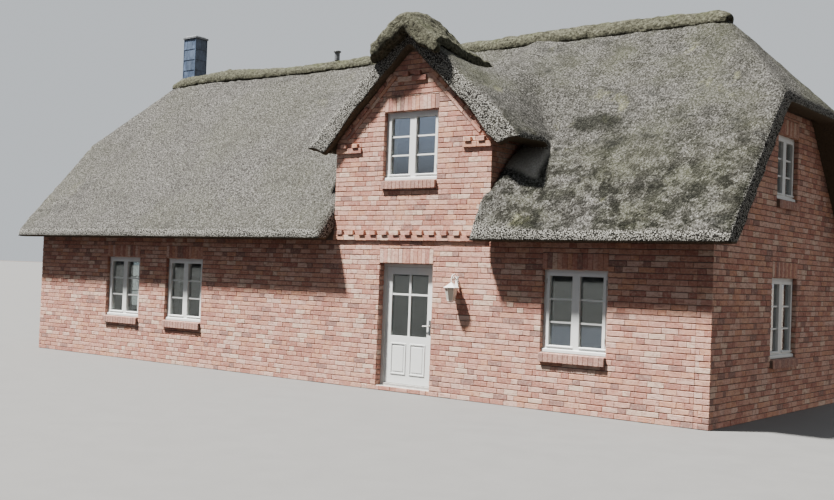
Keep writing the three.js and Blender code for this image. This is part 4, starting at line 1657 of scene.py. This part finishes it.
def bar(corner: Sequence[float], size: Sequence[float], slope: float = 0.0) -> bmesh.types.BMesh:
    """A board from its lowest corner and size, whose outer top edge may drop for a weathering.

    Args:
        corner: the lowest corner.
        size: its lengths along X, Y and Z.
        slope: how far the top falls at the -Y edge.

    Returns:
        The board.
    """
    made = bmesh.new()
    bmesh.ops.create_cube(made, size=1.0)
    for vert in made.verts:
        front_top = vert.co.y < 0.0 and vert.co.z > 0.0
        vert.co = Vector(c + s * (p + 0.5) for c, s, p in zip(corner, size, vert.co))
        if front_top:
            vert.co.z -= slope
    return made


def joined(parts: Iterable[bmesh.types.BMesh], place: Matrix | None = None) -> bpy.types.Mesh:
    """Joins parts into one mesh and frees them.

    Args:
        parts: the parts.
        place: where they go, if not where they are.

    Returns:
        The mesh.
    """
    gathered = bmesh.new()
    for part in parts:
        single = turned_out(part)
        gathered.from_mesh(single)
        bpy.data.meshes.remove(single)
    if place is not None:
        bmesh.ops.transform(gathered, matrix=place, verts=gathered.verts)
    return turned_out(gathered)


@dataclass
class Windows:
    """The white casement windows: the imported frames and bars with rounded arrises, and their trim."""

    arris: float = 0.004
    small_arris: float = 0.003
    apron: float = 0.060
    apron_proud: float = 0.042
    apron_fall: float = 0.018
    behind_frame: float = 0.012
    rail: Span = (0.034, 0.028)
    rail_inset: Span = (0.075, 0.105)
    rail_proud: float = 0.030
    rail_foot: float = 0.078
    rail_fall: float = 0.012
    hinge: Triple = (0.014, 0.014, 0.075)
    hinge_heights: Span = (0.18, 0.22)
    hinge_inset: float = 0.052
    hinge_proud: float = 0.016

    def build(self, paint: bpy.types.Material) -> None:
        """Dresses every window.

        Args:
            paint: the joinery's finish.
        """
        glass = GlassFinish().material()
        metal = GrainFinish("window_ironmongery", (0.30, 0.29, 0.27), (0.48, 0.47, 0.45), 60.0, rough=0.4,
                            metal=1.0, depth=0.0005).material()
        for name in sorted(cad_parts):
            if "window" in name and name.endswith("_glass"):
                finish_solid(name, glass)
            elif "window" in name:
                self._dress(name, paint, metal)

    def _dress(self, name: str, paint: bpy.types.Material, metal: bpy.types.Material) -> None:
        """Dresses one window.

        Args:
            name: its node.
            paint: the finish of its timber.
            metal: the finish of its hinges.
        """
        low, high = box_of(name)
        width, place = self._local(low, high)
        frame_mesh = worn_edges(solid_mesh(name), self.arris, merge=False)
        add_piece(f"{name}_joinery", frame_mesh, paint, "white_paint", name)
        apron = (width, self.apron_proud + 0.002, self.apron)
        boards = [bar((-width / 2.0, -self.apron_proud, 0.0), apron, self.apron_fall)]
        plates = []
        inset, shorter = self.rail_inset
        for side in (-1, 1):
            left = side * width / 4.0 - width / 4.0 + inset
            rail = (width / 2.0 - shorter, *self.rail)
            boards.append(bar((left, -self.rail_proud, self.rail_foot), rail, self.rail_fall))
            across = side * (width / 2.0 - self.hinge_inset) - self.hinge[0] / 2.0
            for z in (self.hinge_heights[0], high.z - low.z - self.hinge_heights[1]):
                plates.append(bar((across, -self.hinge_proud, z), self.hinge))
        for label, parts, finish, slot in (("weather_boards", boards, paint, "white_paint"),
                                           ("hinges", plates, metal, "door_metal")):
            add_piece(f"{name}_{label}", worn_edges(joined(parts, place), self.small_arris), finish, slot)

    def _local(self, low: Vector, high: Vector) -> tuple[float, Matrix]:
        """A window's width, and the turn and place from one that faces -Y with its foot at the origin.

        Args:
            low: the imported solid's lowest corner.
            high: its highest corner.

        Returns:
            The width and the place.
        """
        middle, size, back = (low + high) / 2.0, high - low, self.behind_frame
        if size.x > size.y:
            width, turn = size.x, math.pi if middle.y > 0.0 else 0.0
            outer = Vector((middle.x, high.y - back if middle.y > 0.0 else low.y + back, low.z))
        else:
            width, turn = size.y, math.copysign(math.pi / 2.0, middle.x)
            outer = Vector((high.x - back if middle.x > 0.0 else low.x + back, middle.y, low.z))
        return width, Matrix.Translation(outer) @ Matrix.Rotation(turn, 4, "Z")


@dataclass
class Entrance:
    """The front door with its frame, threshold and handles."""

    panel: Rectangle = (2.26, 2.98, 0.28, 0.80)
    post: float = 0.04
    moulding: float = 0.022
    moulding_proud: float = 0.010
    moulding_thick: float = 0.012
    field_inset: float = 0.05
    field_proud: float = 0.006
    field_thick: float = 0.008

    def build(self, paint: bpy.types.Material) -> None:
        """Dresses the door.

        Args:
            paint: the joinery's finish.
        """
        stone = GrainFinish("threshold_stone", (0.22, 0.21, 0.20), (0.38, 0.37, 0.35), 30.0,
                            rough=0.85).material()
        brass = GrainFinish("door_metalwork", (0.40, 0.39, 0.36), (0.62, 0.61, 0.58), 80.0, rough=0.35,
                            metal=1.0, depth=0.0003).material()
        leaf = "front_door"
        for label, node, arris, finish, slot, body in (
            ("door_frame_joinery", "door_frame", 0.004, paint, "white_paint", "house"),
            ("door_leaf_joinery", "door_leaf", 0.003, paint, "white_paint", leaf),
            ("worn_threshold", "door_threshold", 0.008, stone, "stone_floor", "house"),
            ("door_handle_outside_polished", "door_handle_outside", 0.0015, brass, "door_metal", leaf),
            ("door_handle_inside_polished", "door_handle_inside", 0.0015, brass, "door_metal", leaf),
        ):
            add_piece(label, worn_edges(solid_mesh(node), arris), finish, slot, node, body=body)
        finish_solid("door_glass", GlassFinish("door_pane").material())
        add_piece("door_panel_mouldings", worn_edges(joined(self._panels()), 0.004), paint, "white_paint",
                  body=leaf)

    def _panels(self) -> list[bmesh.types.BMesh]:
        """The raised mouldings and fields of the two lower panels, outside.

        Returns:
            The boards.
        """
        u0, u1, v0, v1 = self.panel
        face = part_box("door_leaf")[0][1]
        middle = (u0 + u1) / 2.0
        wide, inset = self.moulding, self.field_inset
        parts = []
        for left, right in ((u0, middle - self.post), (middle + self.post, u1)):
            width, height = right - left, v1 - v0
            for x, z, across, up in (
                (left, v0, width, wide),
                (left, v1 - wide, width, wide),
                (left, v0 + wide, wide, height - 2.0 * wide),
                (right - wide, v0 + wide, wide, height - 2.0 * wide),
            ):
                parts.append(bar((x, face - self.moulding_proud, z), (across, self.moulding_thick, up)))
            parts.append(bar((left + inset, face - self.field_proud, v0 + inset),
                             (width - 2.0 * inset, self.field_thick, height - 2.0 * inset)))
        return parts


# Chimney, vent and lantern

@dataclass
class Chimney:
    """The slate-hung chimney with its cap, and the vent pipe beside the ridge."""

    rows: int = 8
    foot: float = 5.45
    slate: float = 0.010
    slate_wide: float = 0.26
    lap: float = 0.03
    tilt: float = 0.011
    corner: float = 0.016
    joint: float = 0.004
    uneven: float = 0.002
    strip: float = 0.022
    inset: float = 0.012

    def build(self) -> None:
        """Hangs the slates, sets the cap and cover, and dresses the vent."""
        slate = GrainFinish("blue_slate", (0.030, 0.045, 0.078), (0.085, 0.12, 0.19), 9.0, (1.0, 1.0, 0.6),
                            0.42, depth=0.004, by_piece=0.35).material()
        lead = GrainFinish("grey_metal", (0.10, 0.105, 0.11), (0.2, 0.21, 0.22), 20.0, rough=0.5, metal=0.6)
        zinc = GrainFinish("zinc_sheet", (0.42, 0.44, 0.45), (0.62, 0.64, 0.65), 14.0, rough=0.4, metal=0.8)
        low, high = box_of("chimney_slates")
        add_piece("chimney_core", worn_edges(self._core(low, high), 0.002), slate, "slate", "chimney_slates")
        add_piece("hung_slates", self._slates(low, high), slate, "slate")
        lead_finish = lead.material()
        for label, node, arris, finish, slot in (
            ("worn_chimney_cap", "chimney_cap", 0.004, lead_finish, "dark_metal"),
            ("weathered_vent", "vent_pipe", 0.004, lead_finish, "dark_metal"),
            ("zinc_chimney_cover", "chimney_cover", 0.006, zinc.material(), "zinc"),
        ):
            add_piece(label, worn_edges(solid_mesh(node), arris), finish, slot, node)

    def _core(self, low: Vector, high: Vector) -> bpy.types.Mesh:
        """The boarding behind the slates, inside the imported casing.

        Args:
            low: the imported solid's lowest corner.
            high: its highest corner.

        Returns:
            The mesh.
        """
        mesh = solid_mesh("chimney_slates")
        for vert in mesh.vertices:
            for axis in (0, 1):
                middle = (low[axis] + high[axis]) / 2.0
                if abs(abs(vert.co[axis] - middle) - (high[axis] - low[axis]) / 2.0) < 1e-4:
                    vert.co[axis] -= math.copysign(self.inset, vert.co[axis] - middle)
        return mesh

    def _slates(self, low: Vector, high: Vector) -> bpy.types.Mesh:
        """Overlapping slates round the four sides, and a trim strip up each corner.

        Args:
            low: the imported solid's lowest corner.
            high: its highest corner.

        Returns:
            The mesh.
        """
        chance = np.random.default_rng(31)
        pitch = (high.z - self.foot) / self.rows
        middle, whole = (low + high) / 2.0, high - low
        upright = Matrix.Translation((middle.x, middle.y, 0.0))
        parts = []
        for turn in range(4):
            wide, deep = (whole.x, whole.y) if turn % 2 == 0 else (whole.y, whole.x)
            count = max(1, round(wide / self.slate_wide))
            step = (wide - 0.03) / count
            place = upright @ Matrix.Rotation(turn * math.pi / 2.0, 4, "Z")
            for row in range(self.rows):
                foot, shift = self.foot + row * pitch, (row % 2) * 0.5
                joints = (index + shift for index in range(count) if 0 < index + shift < count)
                edges = sorted({0.0, float(count), *joints})
                for left, right in zip(edges, edges[1:]):
                    size = ((right - left) * step - self.joint, self.slate, pitch + self.lap - self.uneven)
                    board = bar((left * step - wide / 2.0 + self.corner, -deep / 2.0, foot), size)
                    twist = chance.uniform(-self.uneven, self.uneven)
                    top = foot + pitch + self.lap
                    for vert in board.verts:
                        share = (top - vert.co.z) / (pitch + self.lap)
                        vert.co.y += self.tilt * (1.0 - share) + 0.5 * twist
                        vert.co.z = min(vert.co.z + twist, high.z)
                    bmesh.ops.transform(board, matrix=place, verts=board.verts)
                    parts.append(board)
        for x in (low.x, high.x - self.strip):
            for y in (low.y, high.y - self.strip):
                parts.append(bar((x, y, self.foot), (self.strip, self.strip, high.z - self.foot)))
        return joined(parts)


@dataclass
class Lantern:
    """The wall lantern: scroll bracket, hood, six-sided glazed body with bars, and foot."""

    sides: int = 6
    brim: float = 1.12
    foot_radius: float = 0.060
    top_radius: float = 0.100
    bar_radius: float = 0.005
    scroll_drop: float = 0.045
    scroll_steps: int = 12

    def build(self) -> None:
        """Dresses the lantern's solids and adds its bars and scroll."""
        white = PaintFinish("lantern_enamel", (0.68, 0.67, 0.64)).material()
        low, high = box_of("lantern_glass")
        middle = (low + high) / 2.0
        for name in ("lantern_bracket", "lantern_hood", "lantern_foot"):
            mesh = worn_edges(solid_mesh(name), 0.002)
            if name == "lantern_hood":
                self._widen(mesh, middle)
            add_piece(f"{name}_enamelled", mesh, white, "white_paint", name)
        finish_solid("lantern_glass", GlassFinish("lantern_pane", (0.64, 0.68, 0.60), 0.35).material())
        mesh = joined([self._bars(middle, low.z, high.z), self._scroll(middle)])
        add_piece("lantern_bars", worn_edges(mesh, 0.001), white, "white_paint")

    def _bars(self, middle: Vector, foot: float, top: float) -> bmesh.types.BMesh:
        """The bars up the corners of the body.

        Args:
            middle: the middle of the body.
            foot: the height of its foot.
            top: the height of its top.

        Returns:
            The bars.
        """
        made = bmesh.new()
        for index in range(self.sides):
            angle = 2.0 * math.pi * (index + 0.5) / self.sides
            ends = [Vector((middle.x + radius * math.cos(angle), middle.y + radius * math.sin(angle), z))
                    for z, radius in ((foot, self.foot_radius), (top, self.top_radius))]
            self._rod(made, *ends, self.bar_radius)
        return made

    def _widen(self, mesh: bpy.types.Mesh, middle: Vector) -> None:
        """Gives the hood its brim, round the lantern's upright axis.

        Args:
            mesh: the hood.
            middle: a point on the axis.
        """
        for vert in mesh.vertices:
            for axis in (0, 1):
                vert.co[axis] = middle[axis] + (vert.co[axis] - middle[axis]) * self.brim

    def _scroll(self, middle: Vector) -> bmesh.types.BMesh:
        """The bracket's wrought arch from the wall to the lantern, with a curl under it.

        Args:
            middle: the middle of the body.

        Returns:
            The arch and the curl.
        """
        made = bmesh.new()
        _, high = box_of("lantern_bracket")
        reach = (high.y - middle.y) / 2.0
        for radius, turns, thick in ((reach, 0.5, 0.010), (reach * 0.45, 0.9, 0.008)):
            ring = []
            for index in range(self.scroll_steps + 1):
                angle = 2.0 * math.pi * turns * index / self.scroll_steps
                ring.append(Vector((middle.x, high.y - reach + radius * math.cos(angle),
                                    high.z - self.scroll_drop + radius * math.sin(angle))))
            for start, end in zip(ring, ring[1:]):
                self._rod(made, start, end, thick)
        return made

    @staticmethod
    def _rod(made: bmesh.types.BMesh, start: Vector, end: Vector, radius: float) -> None:
        """Adds a thin rod between two points.

        Args:
            made: what it is added to.
            start: one end.
            end: the other end.
            radius: half its thickness.
        """
        along = end - start
        place = Matrix.Translation((start + end) / 2.0) @ along.to_track_quat("Z", "Y").to_matrix().to_4x4()
        bmesh.ops.create_cone(made, cap_ends=True, segments=8, radius1=radius, radius2=radius,
                              depth=along.length, matrix=place)


# Floors

@dataclass
class Floors:
    """The stone floor downstairs and the boarded one upstairs."""

    stone: GrainFinish = GrainFinish("floor_stone", (0.10, 0.095, 0.088), (0.19, 0.18, 0.165), 5.0, rough=0.8,
                                     depth=0.003)
    boards: GrainFinish = GrainFinish("floor_boards", (0.26, 0.16, 0.085), (0.42, 0.29, 0.17), 4.0,
                                      (1.0, 14.0, 14.0), 0.6)

    def build(self) -> None:
        """Gives both floors their finish."""
        finish_solid("ground_floor", self.stone.material())
        finish_solid("upper_floor", self.boards.material())


# Stage

class Surround(Shader):
    """The world: a dim sky, a pale backdrop behind the house and a blue patch for the glass to mirror."""

    owners = "worlds"
    output = "ShaderNodeOutputWorld"
    sky = (0.90, 0.95, 1.0)
    ground = (1.0, 0.86, 0.74)
    mirrored = (0.66, 0.78, 1.0)

    def _towards(self, letter: str) -> Link:
        """One component of the direction that is looked in."""
        direction = self.node("ShaderNodeTexCoord", result="Generated")
        return self.node("ShaderNodeSeparateXYZ", sockets={0: direction}, result=letter)

    def build(self) -> None:
        """Fills the tree and gives the world to the scene."""
        side, ahead, high = (self._towards(letter) for letter in "XYZ")
        backdrop = ahead.between(-0.05, 0.2) * (1.0 - abs(high).between(0.35, 0.6))
        patch = (-1.0 * ahead).between(0.4, 0.6) * (-1.0 * side).between(0.3, 0.45)
        patch = patch * high.between(0.06, 0.14) * (1.0 - high.between(0.3, 0.45))
        card = (high < -0.042) * (high > -0.12) * (side > -0.57) * (ahead < -0.5)
        hedge = (-1.0 * ahead).between(0.2, 0.4) * (1.0 - abs(high + 0.07).between(0.11, 0.16))
        colour = self.mix(high < 0.0, self.sky, self.ground)
        colour = self.mix(patch + card, colour, self.mirrored)
        even = (0.12 + 0.14 * (high < 0.0) + 0.75 * high.between(0.4, 0.9)) * (1.0 - 0.85 * hedge)
        strength = even + 0.6 * backdrop + patch + 0.6 * card
        self.show(self.node("ShaderNodeBackground", {}, {"Color": colour, "Strength": strength}))
        bpy.context.scene.world = self.owner


@dataclass(frozen=True)
class Studio:
    """The pale floor, the soft light and the camera at the photograph's viewpoint."""

    eye: Triple = (13.676, -16.457, 1.926)
    heading: float = math.radians(38.3389)
    pitch: float = math.radians(1.3819)
    roll: float = math.radians(2.1168)
    focal: float = 1070.0
    image_width: float = 834.0
    sensor: float = 36.0
    reach: float = 6000.0
    floor_size: float = 3000.0
    floor_tones: tuple[Colour, Colour] = ((0.115, 0.115, 0.113), (0.125, 0.125, 0.123))
    sun_travel: Triple = (0.16, 0.16, -0.40)
    sun_aim: Triple = (1.0, 0.0, 2.5)
    sun_away: float = 42.0
    sun_power: float = 22.0
    sun_tint: Colour = (1.0, 0.97, 0.92)
    sun_width: float = math.radians(5.0)

    def build(self) -> None:
        """Sets up the floor, the lights and the camera."""
        self._floor()
        self._light()
        self._camera()

    def _floor(self) -> None:
        """A plain pale floor at ground level."""
        grid = bmesh.new()
        bmesh.ops.create_grid(grid, x_segments=8, y_segments=8, size=self.floor_size)
        finish = GrainFinish("studio_floor", *self.floor_tones, 2.0, rough=0.9, depth=0.0005)
        floor = new_object("studio_floor", turned_out(grid), finish.material())
        floor.visible_diffuse = False
        floor.visible_glossy = False

    def _light(self) -> None:
        """A soft sun from the upper left front, and an even pale surround."""
        travel = Vector(self.sun_travel).normalized()
        lamp = bpy.data.lights.new("key_light", "SUN")
        lamp.angle = self.sun_width
        lamp.energy = self.sun_power
        lamp.color = self.sun_tint
        key = bpy.data.objects.new("key_light", lamp)
        key.location = Vector(self.sun_aim) - travel * self.sun_away
        key.rotation_euler = travel.to_track_quat("-Z", "Y").to_euler()
        bpy.context.scene.collection.objects.link(key)
        Surround("pale_surround").build()

    def _camera(self) -> None:
        """The camera, with the photograph's place, heading, tilt and roll."""
        sine, cosine = math.sin(self.heading), math.cos(self.heading)
        forward = Vector((-sine * math.cos(self.pitch), cosine * math.cos(self.pitch), math.sin(self.pitch)))
        level = Vector((cosine, sine, 0.0))
        upright = level.cross(forward)
        right = math.cos(self.roll) * level + math.sin(self.roll) * upright
        up = math.cos(self.roll) * upright - math.sin(self.roll) * level
        turn = Matrix((right, up, -forward)).transposed().to_4x4()
        data = bpy.data.cameras.new("viewpoint")
        data.sensor_width = self.sensor
        data.lens = self.focal * self.sensor / self.image_width
        data.clip_end = self.reach
        camera = bpy.data.objects.new("viewpoint", data)
        camera.matrix_world = Matrix.Translation(self.eye) @ turn
        bpy.context.scene.collection.objects.link(camera)
        bpy.context.scene.camera = camera


def write_sizes() -> None:
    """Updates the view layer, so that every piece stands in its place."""
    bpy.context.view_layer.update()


def main() -> None:
    """Builds the cottage, sub-assembly by sub-assembly, and the studio round it."""
    logging.basicConfig(level=logging.INFO, format="%(name)s %(message)s")
    Studio().build()
    Masonry().build()
    Thatch().build()
    RidgeCovers().build()
    paint = PaintFinish().material()
    Windows().build(paint)
    Entrance().build(paint)
    Chimney().build()
    Lantern().build()
    Floors().build()
    write_sizes()


if __name__ == "__main__":
    main()
